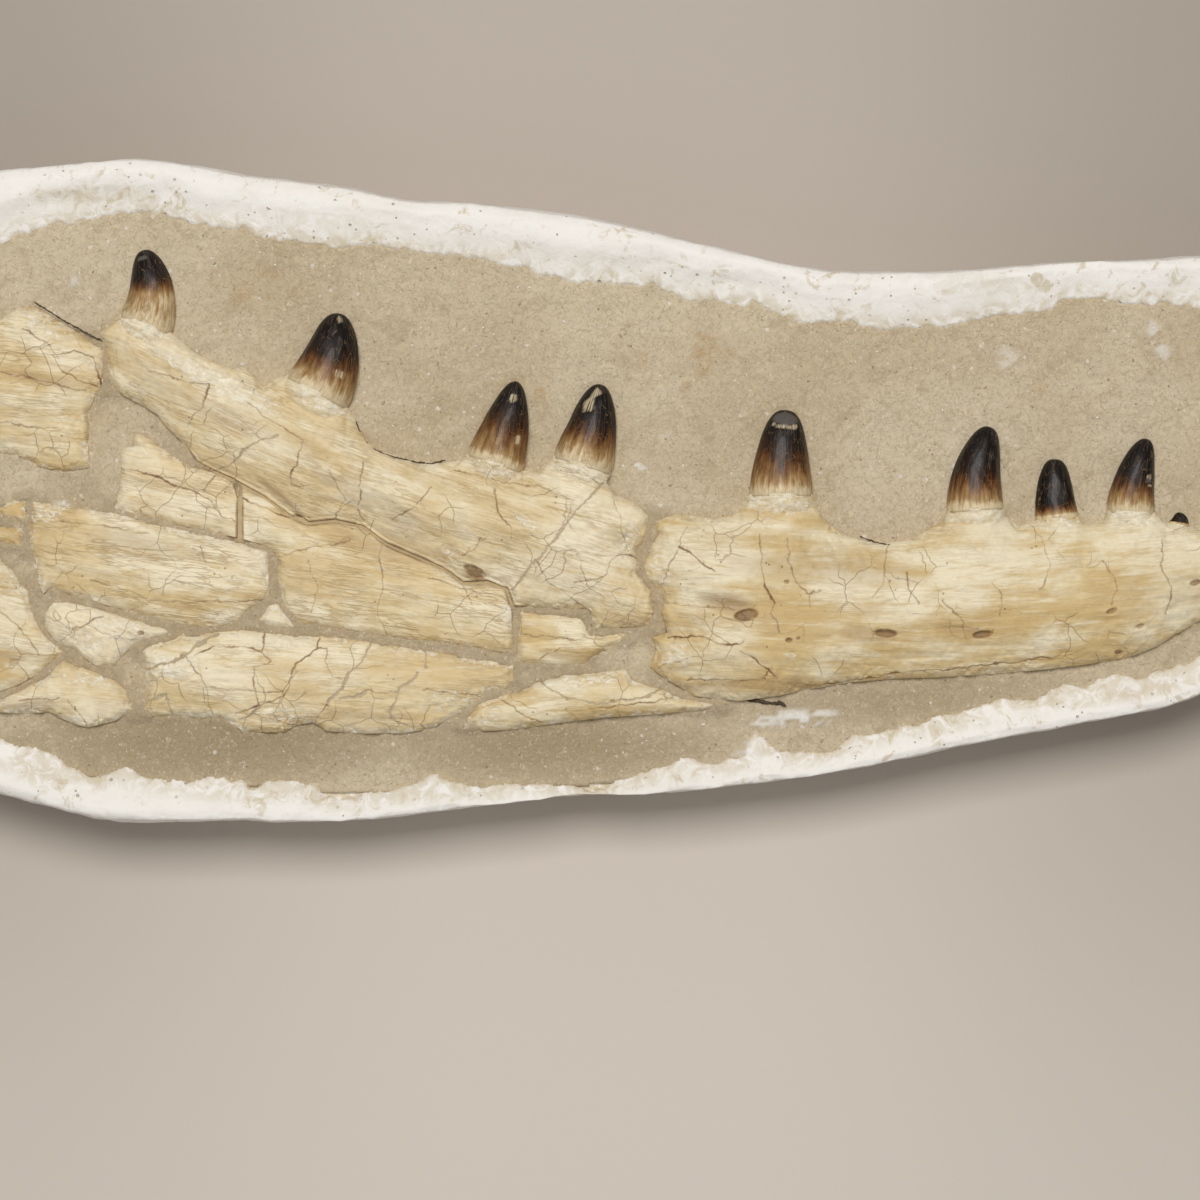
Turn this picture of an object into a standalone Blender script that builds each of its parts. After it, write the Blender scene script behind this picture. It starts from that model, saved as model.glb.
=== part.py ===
# Fossil jaw of a mosasaur: bones and tooth crowns in relief on their matrix, in a plaster jacket.
# Frame: metres, +Z up. The jacket lies on its flat underside at z = 0, with the origin at the
# middle of its box. +X runs towards the tip of the jaw and +Y towards the points of the teeth.

import math

import bmesh
import bpy
from mathutils import Vector
from mathutils.geometry import delaunay_2d_cdt

# All the sizes below are millimetres.
MM = 0.001
CLEARANCE = 0.3            # gap between two pieces that touch

# Plaster jacket
RIM_HEIGHT = 49.5          # crest of the rim above the table
RIM_WAVE = 1.4             # how far the hand-formed crest wanders up and down
LIP_HEIGHT = 43.8          # inner lip, just over the matrix
TRAY_FLOOR = 9.0           # plaster under the matrix
SAMPLES_PER_STATION = 2

# Matrix
MATRIX_TOP = 43.0
MATRIX_WAVE = 1.0          # how far its surface undulates
MATRIX_GRID = 34.0

# Bones
EDGE_ROUNDING = 1.6        # height of the rounded shoulder along a broken edge
EDGE_WIDTH = 2.6           # width of that shoulder
BONE_GRID = 13.0
PEDESTAL_DEPTH = 17.0      # bony base of a tooth, from the enamel down into the jaw
PEDESTAL_FLARE = 15.0      # depth over which that base grows as wide again by half
PEDESTAL_SHARES = (0.14, 0.34, 0.5, 0.66, 0.86)   # extra points along the bone edge under a crown
PEDESTAL_ROWS = (4.0, 9.5) # depths of the extra points behind that edge
CUTTER_TOP = 70.0

# Tooth crowns
CROWN_SIDES = 10
CROWN_STEPS = (0.0, 0.25, 0.5, 0.72, 0.89)
CROWN_GAP = 0.5            # enamel base to the bone it stands on
CROWN_THICKNESS = 0.86     # thickness of a crown against its width
CROWN_LIFT = 0.1           # height of its axis over the matrix, against its width

# Each station goes round the jacket: outer edge x, y and inner lip x, y.
RIM_STATIONS = (
    (-272, 122, -264, 89),
    (-248, 129, -245.5, 95),
    (-228.5, 131, -225, 101.5),
    (-198, 134, -200, 107),
    (-175, 133.5, -175.5, 107.5),
    (-154, 130.5, -158, 102.5),
    (-137, 127, -138.5, 99),
    (-102, 123, -103, 95),
    (-80, 118, -81.5, 93),
    (-60, 117, -60, 91),
    (-36, 115, -40, 87),
    (-9.5, 112, -17.5, 81.5),
    (10, 108, 2.5, 79),
    (28, 103, 21, 79),
    (48, 98.5, 40, 73),
    (70, 93, 62.5, 70.5),
    (92, 89.5, 85, 64),
    (116, 89, 112, 61.5),
    (140, 89, 138.5, 63.5),
    (164, 91, 162, 67.5),
    (188, 92.5, 189, 73),
    (216, 93.5, 215.5, 71.5),
    (246, 95, 243, 69),
    (272, 93, 265, 65.5),
    (298, 83, 282.5, 57.5),
    (317, 62, 294, 43),
    (327, 34, 300, 24),
    (327, 4, 300, 3),
    (317, -24, 292, -15),
    (298, -49, 277.5, -32),
    (274, -67, 257.5, -49),
    (250, -79, 240, -62.5),
    (226, -88.5, 221, -70.5),
    (202, -93, 199, -75.5),
    (178, -97, 177, -80),
    (154, -101.5, 152, -85),
    (130, -107, 128.5, -91),
    (108, -112, 105, -96),
    (87, -115, 84.5, -101.5),
    (64, -118.5, 62.5, -104),
    (40, -121, 39, -107),
    (17.5, -123, 17.5, -109),
    (-6, -123, -6, -112),
    (-30, -125.5, -30, -113.5),
    (-53.5, -128.5, -53.5, -114),
    (-78, -131.5, -78, -114.5),
    (-104, -133.5, -104, -115),
    (-130, -134, -130, -113.5),
    (-156, -133.5, -156, -111.5),
    (-182.5, -134, -183, -110.5),
    (-202, -133, -203, -109),
    (-222, -127.5, -221, -102.5),
    (-242, -123, -239, -97),
    (-266, -112, -259, -88),
    (-290, -94, -278.5, -75),
    (-310, -68, -293, -56),
    (-323, -36, -301, -31),
    (-328, 0, -304.5, 2),
    (-327, 36, -303, 35),
    (-318, 70, -297, 61),
    (-298, 100, -283, 78.5),
)

# Jacket section from the inner wall over the crest to the underside. Each row is the share of the
# rim's width, from the inner lip to the outer edge, a further step inwards, and the height.
RIM_SECTION = (
    (0.0, 0.0, TRAY_FLOOR),
    (0.0, 0.0, LIP_HEIGHT),
    (0.26, 0.0, RIM_HEIGHT - 2.2),
    (0.52, 0.0, RIM_HEIGHT),
    (0.75, 0.0, RIM_HEIGHT - 1.2),
    (0.92, 0.0, RIM_HEIGHT - 6.5),
    (1.0, 0.0, RIM_HEIGHT - 17.0),
    (1.0, 1.2, 17.0),
    (1.0, 4.5, 5.5),
    (1.0, 9.5, 0.0),
)
CREST_ROWS = (2, 3, 4)     # the rows that follow the wandering crest

# Bones: floor of the pocket, height of the broken edge, rise of the middle, reach of that rise,
# colour, and the outline seen from above.
BONES = {
    "dentary_front": dict(
        floor=29.0, edge=46.5, rise=10.5, reach=26.0, colour=(0.70, 0.58, 0.36), outline=(
            (22, -12), (31, -9.5), (46.5, -11.5), (55, -9), (60, -1.5), (85, -1.5), (87, -7),
            (91.5, -13), (97.5, -18), (107, -20.5), (116, -21), (125, -20), (131, -16),
            (137.5, -12.5), (139, -8), (161.5, -6.5), (162, -10.5), (168, -14.5), (174.5, -12),
            (191.5, -10), (196.5, -13.5), (202, -12), (203, -8), (222, -9), (225, -11.5),
            (228, -13), (236, -14.5), (248, -14.5), (249, -9.5), (261, -11), (265, -17.5),
            (269, -24), (268, -31), (261, -38.5), (251, -45.5), (240, -52.5), (231, -57.5),
            (223, -62.5), (212, -67), (196.5, -69.5), (181, -71.5), (160, -73.5), (136, -75),
            (118, -75.5), (100.5, -77), (82.5, -80), (73.5, -82), (55.5, -84.5), (38, -82.5),
            (27, -76), (20, -71), (22.5, -64), (21, -59), (27, -57), (24.5, -49), (26, -44),
            (20, -37), (17.5, -30.5), (19, -25), (22.5, -17),
        )),
    "dentary_hind": dict(
        floor=30.2, edge=46.5, rise=9.0, reach=24.0, colour=(0.68, 0.55, 0.33), outline=(
            (-201, 62.5), (-192, 70.5), (-171.5, 63), (-167, 59), (-160.5, 54), (-151, 49.5),
            (-142, 49), (-135, 41.5), (-130, 44.5), (-125, 46), (-101, 33), (-97, 27),
            (-93.5, 20.5), (-89.5, 16.5), (-80, 13), (-67, 11), (-58, 11.5), (-53, 15),
            (-31, 7.5), (-25, 7.5), (-18.5, 14), (4.5, 7), (2.5, 3), (6.5, -2), (14, -5),
            (19.5, -10.5), (19, -17.5), (15, -24), (14.5, -33), (21, -40.5), (21.5, -49),
            (19.5, -54.5), (-1.5, -55.5), (-5, -48.5), (-22, -47), (-34.5, -46), (-37, -39),
            (-45, -36), (-54.5, -36.5), (-63, -30.5), (-71, -27), (-85, -21), (-94.5, -14),
            (-106, -11.5), (-117, -12.5), (-123.5, -10), (-133.5, -2.5), (-147, 5), (-154, 8),
            (-160.5, 11.5), (-167, 19), (-173.5, 25), (-177, 30), (-183.5, 34), (-191, 38),
            (-196.5, 43), (-197.5, 51.5), (-197, 57),
        )),
    "coronoid": dict(
        floor=31.4, edge=46.0, rise=5.0, reach=22.0, colour=(0.72, 0.60, 0.37), outline=(
            (-262, 67), (-240, 68), (-233, 73), (-225.5, 73.5), (-217, 68), (-208, 62.5),
            (-198.5, 56), (-199, 51), (-198, 42.5), (-202, 37.5), (-205, 31), (-205, 20.5),
            (-204.5, 9), (-213.5, 7.5), (-223.5, 9), (-233, 13.5), (-240, 15), (-258, 17),
            (-275, 20), (-286, 28), (-290, 40), (-287, 54), (-277, 63),
        )),
    "surangular": dict(
        floor=30.8, edge=45.5, rise=3.0, reach=16.0, colour=(0.70, 0.57, 0.34), outline=(
            (-186.5, 23), (-183.5, 22.5), (-178.5, 19), (-171.5, 14.5), (-165.5, 10.5),
            (-153.5, 6.5), (-147, 3), (-145, -4), (-145, -19), (-160.5, -16), (-180.5, -11),
            (-194.5, -7.5), (-192.5, 0.5), (-192, 17), (-187, 17.5),
        )),
    "angular": dict(
        floor=31.1, edge=46.0, rise=4.5, reach=20.0, colour=(0.66, 0.52, 0.30), outline=(
            (-227.5, -4), (-211.5, -7), (-194.5, -9), (-180.5, -13), (-160.5, -17.5),
            (-144.5, -21), (-133, -24.5), (-132.5, -36), (-132, -42.5), (-140, -47.5),
            (-145, -52), (-152, -54.5), (-163, -55), (-172, -52.5), (-183, -50),
            (-203.5, -44.5), (-213, -41.5), (-220, -39), (-223, -41.5), (-225.5, -36),
            (-226, -28), (-228.5, -21.5), (-228, -12),
        )),
    "prearticular": dict(
        floor=31.7, edge=45.8, rise=4.0, reach=18.0, colour=(0.66, 0.53, 0.32), outline=(
            (-143, 0.8), (-133.5, -4), (-123.5, -11.5), (-117, -14), (-106, -13),
            (-94.5, -15.5), (-85, -22.5), (-71, -28.5), (-63, -32), (-54.5, -38), (-45, -37.5),
            (-38, -40), (-35.5, -47), (-35, -55.5), (-34.5, -66), (-52, -63), (-75, -60),
            (-98, -56.5), (-109.5, -54.5), (-119, -54), (-124, -49.5), (-127.5, -44),
            (-129, -36), (-129.5, -26.5), (-133, -22.5), (-143, -19.5),
        )),
    "splenial_hind": dict(
        floor=30.5, edge=46.0, rise=5.0, reach=18.0, colour=(0.74, 0.63, 0.42), outline=(
            (-180, -61.8), (-173.5, -60.4), (-167, -57.5), (-160, -57.5), (-144, -56),
            (-134, -57), (-113.5, -58), (-98, -60), (-75, -63.5), (-52, -67), (-34.5, -70),
            (-34, -76.5), (-37, -79), (-46, -81.5), (-52, -87), (-60, -91.5), (-67.5, -95.5),
            (-79, -97.5), (-98, -97.5), (-109.5, -96.5), (-115, -93), (-121, -94),
            (-126.5, -97), (-143.5, -97), (-150.5, -92), (-168.5, -91), (-179, -90.5),
            (-183, -87.5), (-181, -83), (-182.5, -71.5), (-183, -64.5),
        )),
    "splenial_front": dict(
        floor=32.0, edge=45.5, rise=3.5, reach=9.0, colour=(0.76, 0.66, 0.46), outline=(
            (-54, -91), (-48.5, -85.5), (-40.5, -82.5), (-33, -80.5), (-25, -76.5),
            (-14, -73.5), (10.5, -72), (13.5, -76.5), (25, -80), (33, -83.5), (47, -86),
            (40, -88.3), (23, -89.8), (2.5, -91), (-18, -93.5), (-35, -96), (-46.5, -96.5),
            (-53.5, -94),
        )),
    "splenial_sliver": dict(
        floor=31.3, edge=45.0, rise=2.0, reach=7.0, colour=(0.72, 0.58, 0.33), outline=(
            (-33, -48), (-22, -49), (-7, -50.5), (-4, -57.5), (10.5, -57), (10.5, -61),
            (0, -65), (-5.5, -69.5), (-16, -71), (-33, -69),
        )),
    "bone_chip": dict(
        floor=33.0, edge=46.0, rise=1.5, reach=4.0, colour=(0.86, 0.80, 0.70), outline=(
            (-137, -52), (-132.5, -45.5), (-129, -45.5), (-121.5, -55), (-132, -55),
        )),
    "hind_fragment_1": dict(
        floor=33.3, edge=45.5, rise=1.5, reach=5.0, colour=(0.74, 0.62, 0.40), outline=(
            (-238.5, -12), (-242.5, -7), (-234.5, -3.5), (-229.5, -4.5), (-229.5, -13.5),
        )),
    "hind_fragment_2": dict(
        floor=32.4, edge=45.8, rise=3.0, reach=12.0, colour=(0.72, 0.60, 0.38), outline=(
            (-240, -14), (-231, -15), (-231.5, -23), (-240, -21.5), (-256, -20), (-272, -16.5),
            (-284, -9), (-282, 0), (-268, 2.5), (-256, -1), (-245, -8),
        )),
    "hind_fragment_3": dict(
        floor=31.9, edge=45.8, rise=4.0, reach=18.0, colour=(0.74, 0.63, 0.42), outline=(
            (-240, -27), (-235.5, -31.5), (-232, -37.5), (-229, -40.5), (-228, -46.5),
            (-225.5, -53.5), (-222, -59), (-215, -65), (-223, -72.5), (-233, -78),
            (-240, -80.5), (-256, -78.5), (-268, -73), (-280, -61), (-286, -46), (-281, -34),
            (-270, -27), (-255, -25),
        )),
    "hind_fragment_4": dict(
        floor=32.7, edge=45.8, rise=3.0, reach=10.0, colour=(0.76, 0.65, 0.44), outline=(
            (-222, -49), (-219, -45), (-213, -45), (-203.5, -47), (-183, -53), (-171, -56.5),
            (-175.5, -58.5), (-186.5, -61.5), (-191, -66), (-195, -71), (-201.5, -70.5),
            (-211.5, -64), (-218.5, -60), (-222.5, -54.5),
        )),
    "hind_fragment_5": dict(
        floor=30.9, edge=45.8, rise=3.5, reach=9.0, colour=(0.75, 0.64, 0.43), outline=(
            (-215, -68.5), (-202, -73), (-194.5, -76), (-190, -80), (-187, -88),
            (-194.5, -92.5), (-204.5, -95), (-210, -94), (-221, -89), (-233, -89.5),
            (-240, -89), (-250, -87), (-252, -84), (-240, -83.8), (-233, -81), (-223, -75),
        )),
}

# Teeth: the two ends of the bone edge that carries the crown, the point of the crown, and how
# blunt the point is (1 is sharp, less is worn).
TEETH = {
    "tooth_01": dict(left=(-192, 70.5), right=(-171.5, 63), point=(-183.2, 96), sharp=1.0),
    "tooth_02": dict(left=(-125, 46), right=(-101, 33), point=(-105.2, 70.8), sharp=0.97),
    "tooth_03": dict(left=(-53, 15), right=(-31, 7.5), point=(-33.6, 43.6), sharp=0.98),
    "tooth_04": dict(left=(-18.5, 14), right=(4.5, 7), point=(0, 42.4), sharp=0.97),
    "tooth_05": dict(left=(60, -1.5), right=(85, -1.5), point=(74.8, 32), sharp=0.93),
    "tooth_06": dict(left=(139, -8), right=(161.5, -6.5), point=(154.4, 25.2), sharp=1.0),
    "tooth_07": dict(left=(174.5, -12), right=(191.5, -10), point=(182.4, 12.4), sharp=0.95),
    "tooth_08": dict(left=(203, -8), right=(222, -9), point=(218, 20.4), sharp=1.0),
    "tooth_09": dict(left=(228, -13), right=(236, -14.5), point=(231.4, -9), sharp=0.97),
    "tooth_10": dict(left=(249, -9.5), right=(261, -11), point=(258.5, 12), sharp=1.0),
}

PLASTER_LOOK = ((0.86, 0.82, 0.76), 0.85)
MATRIX_LOOK = ((0.54, 0.44, 0.30), 0.92)
BONE_ROUGHNESS = 0.62
ENAMEL_LOOK = ((0.10, 0.05, 0.025), 0.22)


def clear_scene():
    for obj in list(bpy.data.objects):
        bpy.data.objects.remove(obj, do_unlink=True)


def make_material(name, colour, roughness):
    material = bpy.data.materials.new(name)
    material.use_nodes = True
    shader = material.node_tree.nodes["Principled BSDF"]
    shader.inputs["Base Color"].default_value = (*colour, 1.0)
    shader.inputs["Roughness"].default_value = roughness
    shader.inputs["Metallic"].default_value = 0.0
    return material


def make_object(name, bm, colour, roughness):
    bmesh.ops.recalc_face_normals(bm, faces=bm.faces)
    mesh = bpy.data.meshes.new(name)
    bm.to_mesh(mesh)
    bm.free()
    mesh.shade_smooth()
    mesh.set_sharp_from_angle(angle=math.radians(40))
    obj = bpy.data.objects.new(name, mesh)
    obj.data.materials.append(make_material(name + "_finish", colour, roughness))
    bpy.context.scene.collection.objects.link(obj)
    return obj


def counter_clockwise(outline):
    """The outline's points in counter-clockwise order, seen from above."""
    doubled_area = sum(a[0] * b[1] - b[0] * a[1] for a, b in zip(outline, outline[1:] + outline[:1]))
    return list(outline) if doubled_area > 0 else list(reversed(outline))


def offset_outline(outline, distance):
    """A closed counter-clockwise outline moved inwards by distance, or outwards if negative."""
    moved = []
    for i, point in enumerate(outline):
        before = (Vector(point) - Vector(outline[i - 1])).normalized()
        after = (Vector(outline[(i + 1) % len(outline)]) - Vector(point)).normalized()
        inward_before = Vector((-before.y, before.x))
        inward_after = Vector((-after.y, after.x))
        mitre = inward_before + inward_after
        mitre *= distance / max(0.5, mitre.dot(inward_after))
        moved.append((point[0] + mitre.x, point[1] + mitre.y))
    return moved


def distance_to_outline(point, outline):
    nearest = math.inf
    for i, end in enumerate(outline):
        start = Vector(outline[i - 1])
        run = Vector(end) - start
        reach = Vector(point) - start
        share = min(1.0, max(0.0, reach.dot(run) / run.length_squared))
        nearest = min(nearest, (reach - run * share).length)
    return nearest


def inside_outline(point, outline):
    inside = False
    for i, end in enumerate(outline):
        start = outline[i - 1]
        if (start[1] > point[1]) != (end[1] > point[1]):
            crossing = start[0] + (point[1] - start[1]) / (end[1] - start[1]) * (end[0] - start[0])
            if point[0] < crossing:
                inside = not inside
    return inside


def smooth_closed_curve(points, samples):
    """Catmull-Rom curve through closed points of any number of coordinates."""
    count = len(points)
    curve = []
    for i in range(count):
        p0, p1, p2, p3 = (points[(i + k) % count] for k in (-1, 0, 1, 2))
        for step in range(samples):
            t = step / samples
            curve.append(tuple(
                0.5 * (2 * b + (c - a) * t + (2 * a - 5 * b + 4 * c - d) * t ** 2
                       + (3 * b - a - 3 * c + d) * t ** 3)
                for a, b, c, d in zip(p0, p1, p2, p3)))
    return curve


def grid_points(outline, spacing, margin):
    """Points of a staggered grid that lie inside the outline, at least a margin from it."""
    low_x = min(p[0] for p in outline)
    high_x = max(p[0] for p in outline)
    low_y = min(p[1] for p in outline)
    high_y = max(p[1] for p in outline)
    row_step = spacing * math.sqrt(0.75)
    points = []
    for row in range(int((high_y - low_y) / row_step) + 1):
        y = low_y + (row + 0.5) * row_step
        for column in range(int((high_x - low_x) / spacing) + 1):
            x = low_x + (column + 0.5 * (row % 2) + 0.25) * spacing
            if inside_outline((x, y), outline) and distance_to_outline((x, y), outline) > margin:
                points.append((x, y))
    return points


def solid_with_top(outline, inner_points, floor, height_at):
    """Closed solid in metres: a modelled top over the outline, upright walls and a flat floor."""
    flat = [Vector(p) for p in outline] + [Vector(p) for p in inner_points]
    face = [list(range(len(outline)))]
    points, _, triangles, *_ = delaunay_2d_cdt(flat, [], face, 1, 0.001)
    bm = bmesh.new()
    verts = [bm.verts.new((p.x * MM, p.y * MM, height_at((p.x, p.y)) * MM)) for p in points]
    for triangle in triangles:
        bm.faces.new([verts[i] for i in triangle])
    rim = [edge for edge in bm.edges if edge.is_boundary]
    wall = bmesh.ops.extrude_edge_only(bm, edges=rim)["geom"]
    low_verts = {item for item in wall if isinstance(item, bmesh.types.BMVert)}
    low_edges = [item for item in wall if isinstance(item, bmesh.types.BMEdge)
                 and all(vert in low_verts for vert in item.verts)]
    for vert in low_verts:
        vert.co.z = floor * MM
    bmesh.ops.edgeloop_fill(bm, edges=low_edges)
    bmesh.ops.recalc_face_normals(bm, faces=bm.faces)
    bmesh.ops.triangulate(bm, faces=bm.faces, quad_method="BEAUTY", ngon_method="BEAUTY")
    return bm


def rim_crest(x, y):
    """How far the hand-formed crest stands above or below its usual height."""
    return RIM_WAVE * (0.6 * math.sin(x / 41 + 0.7) + 0.4 * math.cos(x / 17 - y / 29))


def make_jacket():
    stations = smooth_closed_curve(RIM_STATIONS, SAMPLES_PER_STATION)
    bm = bmesh.new()
    rings = []
    for row, (share, step_in, height) in enumerate(RIM_SECTION):
        ring = []
        for outer_x, outer_y, inner_x, inner_y in stations:
            outer = Vector((outer_x, outer_y))
            inner = Vector((inner_x, inner_y))
            place = inner.lerp(outer, share) + (inner - outer).normalized() * step_in
            lift = rim_crest(*place) if row in CREST_ROWS else 0.0
            ring.append(bm.verts.new((place.x * MM, place.y * MM, (height + lift) * MM)))
        rings.append(ring)
    for lower, upper in zip(rings, rings[1:]):
        for i in range(len(stations)):
            bm.faces.new((lower[i - 1], lower[i], upper[i], upper[i - 1]))
    bm.faces.new(rings[0])
    bm.faces.new(rings[-1])
    bmesh.ops.recalc_face_normals(bm, faces=bm.faces)
    bmesh.ops.triangulate(bm, faces=bm.faces, quad_method="BEAUTY", ngon_method="BEAUTY")
    return make_object("plaster_jacket", bm, *PLASTER_LOOK)


def matrix_height(point):
    x, y = point
    return MATRIX_TOP + MATRIX_WAVE * (0.6 * math.sin(x / 45 + 1) * math.cos(y / 31)
                                       + 0.4 * math.sin(x / 21 - y / 26))


def make_matrix():
    stations = smooth_closed_curve(RIM_STATIONS, SAMPLES_PER_STATION)
    lip = counter_clockwise([(inner_x, inner_y) for _, _, inner_x, inner_y in stations])
    outline = offset_outline(lip, CLEARANCE)
    inner_points = grid_points(outline, MATRIX_GRID, MATRIX_GRID / 3)
    bm = solid_with_top(outline, inner_points, TRAY_FLOOR + CLEARANCE, matrix_height)
    return make_object("matrix_slab", bm, *MATRIX_LOOK)


def eased(share):
    """0 to 1 along a quarter of a round hill."""
    return 1 - (1 - min(1.0, share)) ** 2


def base_frame(tooth):
    """Middle of the bone edge under the crown, the way along it, the way out of the jaw, and
    half its length."""
    left, right = Vector(tooth["left"]), Vector(tooth["right"])
    along = (right - left).normalized()
    return (left + right) / 2, along, Vector((-along.y, along.x)), (right - left).length / 2


def crown_axis_height(half_width):
    return MATRIX_TOP + CROWN_LIFT * 2 * half_width


def pedestal_height(tooth, edge, point):
    """Top of the bony base that carries the crown on into the jaw, or the edge away from it."""
    middle, along, outward, half_width = base_frame(tooth)
    sideways = (Vector(point) - middle).dot(along)
    depth = max(0.0, (middle - Vector(point)).dot(outward))
    wide = half_width * (1 + 0.5 * depth / PEDESTAL_FLARE)
    if depth > PEDESTAL_DEPTH or abs(sideways) > wide:
        return edge
    top = crown_axis_height(half_width) + CROWN_THICKNESS * half_width
    section = math.sqrt(1 - (sideways / wide) ** 2)
    return edge + (top - edge) * section * (1 - (depth / PEDESTAL_DEPTH) ** 2)


def bone_height(bone, outline, teeth, point):
    depth = distance_to_outline(point, outline)
    height = bone["edge"] + EDGE_ROUNDING * eased(depth / EDGE_WIDTH)
    height += bone["rise"] * eased(depth / bone["reach"])
    return max([height] + [pedestal_height(tooth, bone["edge"], point) for tooth in teeth])


def with_pedestal_points(outline, teeth):
    """The outline with extra points along each edge that carries a crown."""
    edges = {(tooth["left"], tooth["right"]): tooth for tooth in teeth}
    longer = []
    for i, start in enumerate(outline):
        longer.append(start)
        end = outline[(i + 1) % len(outline)]
        if (start, end) in edges or (end, start) in edges:
            longer += [tuple(Vector(start).lerp(Vector(end), share)) for share in PEDESTAL_SHARES]
    return longer


def pedestal_points(teeth):
    points = []
    for tooth in teeth:
        middle, along, outward, half_width = base_frame(tooth)
        for depth in PEDESTAL_ROWS:
            wide = half_width * (1 + 0.5 * depth / PEDESTAL_FLARE)
            for share in PEDESTAL_SHARES:
                points.append(tuple(middle - outward * depth + along * wide * (2 * share - 1)))
    return points


def make_bone(name, bone):
    plain = counter_clockwise(bone["outline"])
    teeth = [tooth for tooth in TEETH.values() if tooth["left"] in plain]
    outline = with_pedestal_points(plain, teeth)
    shoulder = [point for point in offset_outline(plain, EDGE_WIDTH)
                if inside_outline(point, plain)
                and distance_to_outline(point, plain) > 0.8 * EDGE_WIDTH]
    pedestals = [point for point in pedestal_points(teeth) if inside_outline(point, plain)
                 and distance_to_outline(point, plain) > 0.8 * EDGE_WIDTH]
    middle = [point for point in grid_points(plain, BONE_GRID, 2 * EDGE_WIDTH)
              if all(math.dist(point, other) > EDGE_WIDTH for other in pedestals)]
    bm = solid_with_top(outline, shoulder + pedestals + middle, bone["floor"],
                        lambda point: bone_height(bone, plain, teeth, point))
    return make_object(name, bm, bone["colour"], BONE_ROUGHNESS)


def crown_radius(tooth, share):
    """Half the crown's width at a share of its length."""
    half_base = base_frame(tooth)[3]
    return half_base * (1 - (tooth["sharp"] * share) ** 2.2) ** 0.8


def add_crown(bm, tooth, swell=0.0, sink=0.0):
    """A bent, flattened cone from its base on the bone to its point. Swell widens it all round
    and sink draws its base back into the bone."""
    middle, _, outward, half_width = base_frame(tooth)
    tip = Vector(tooth["point"])
    start = middle + outward * CROWN_GAP
    bend = start + outward * (tip - start).length * 0.45
    end = tip + (tip - bend).normalized() * swell
    axis_height = crown_axis_height(half_width)
    rings = []
    for share in CROWN_STEPS:
        centre = start * (1 - share) ** 2 + bend * 2 * share * (1 - share) + end * share ** 2
        along = ((bend - start) * (1 - share) + (end - bend) * share).normalized()
        across = Vector((along.y, -along.x))
        radius = crown_radius(tooth, share) + swell
        ring = []
        for side in range(CROWN_SIDES):
            angle = 2 * math.pi * (side + 0.5) / CROWN_SIDES
            place = centre + across * radius * math.cos(angle)
            height = axis_height + CROWN_THICKNESS * radius * math.sin(angle)
            ring.append(bm.verts.new((place.x * MM, place.y * MM, height * MM)))
        rings.append(ring)
    for lower, upper in zip(rings, rings[1:]):
        for i in range(CROWN_SIDES):
            bm.faces.new((lower[i - 1], lower[i], upper[i], upper[i - 1]))
    bm.faces.new(rings[0])
    for vert in rings[0]:
        vert.co.xy -= outward * sink * MM
    point = bm.verts.new((end.x * MM, end.y * MM, axis_height * MM))
    for i in range(CROWN_SIDES):
        bm.faces.new((rings[-1][i - 1], rings[-1][i], point))


def make_tooth(name, tooth):
    bm = bmesh.new()
    add_crown(bm, tooth)
    bmesh.ops.triangulate(bm, faces=bm.faces)
    return make_object(name, bm, *ENAMEL_LOOK)


def hide_cutter(cutter):
    cutter.hide_render = True
    cutter.display_type = "WIRE"


def cut_with(target, cutter):
    hide_cutter(cutter)
    modifier = target.modifiers.new("cut_by_" + cutter.name, "BOOLEAN")
    modifier.operation = "DIFFERENCE"
    modifier.solver = "EXACT"
    modifier.object = cutter


def make_bone_cutter():
    """One upright prism for each bone, a clearance wider than the bone."""
    bm = bmesh.new()
    for bone in BONES.values():
        outline = offset_outline(counter_clockwise(bone["outline"]), -CLEARANCE)
        bottom = (bone["floor"] - CLEARANCE) * MM
        base = bm.faces.new([bm.verts.new((x * MM, y * MM, bottom)) for x, y in outline])
        extruded = bmesh.ops.extrude_face_region(bm, geom=[base])["geom"]
        for item in extruded:
            if isinstance(item, bmesh.types.BMVert):
                item.co.z = CUTTER_TOP * MM
    return make_object("bone_cutter", bm, *MATRIX_LOOK)


def make_crown_cutter():
    bm = bmesh.new()
    for tooth in TEETH.values():
        add_crown(bm, tooth, swell=CLEARANCE, sink=2 * CROWN_GAP)
    return make_object("crown_cutter", bm, *MATRIX_LOOK)


def main():
    clear_scene()
    make_jacket()
    matrix = make_matrix()
    for name, bone in BONES.items():
        make_bone(name, bone)
    for name, tooth in TEETH.items():
        make_tooth(name, tooth)
    cut_with(matrix, make_bone_cutter())
    cut_with(matrix, make_crown_cutter())


main()
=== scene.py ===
import math

import bmesh
import bpy
import numpy as np
from mathutils import Matrix, Vector


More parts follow.
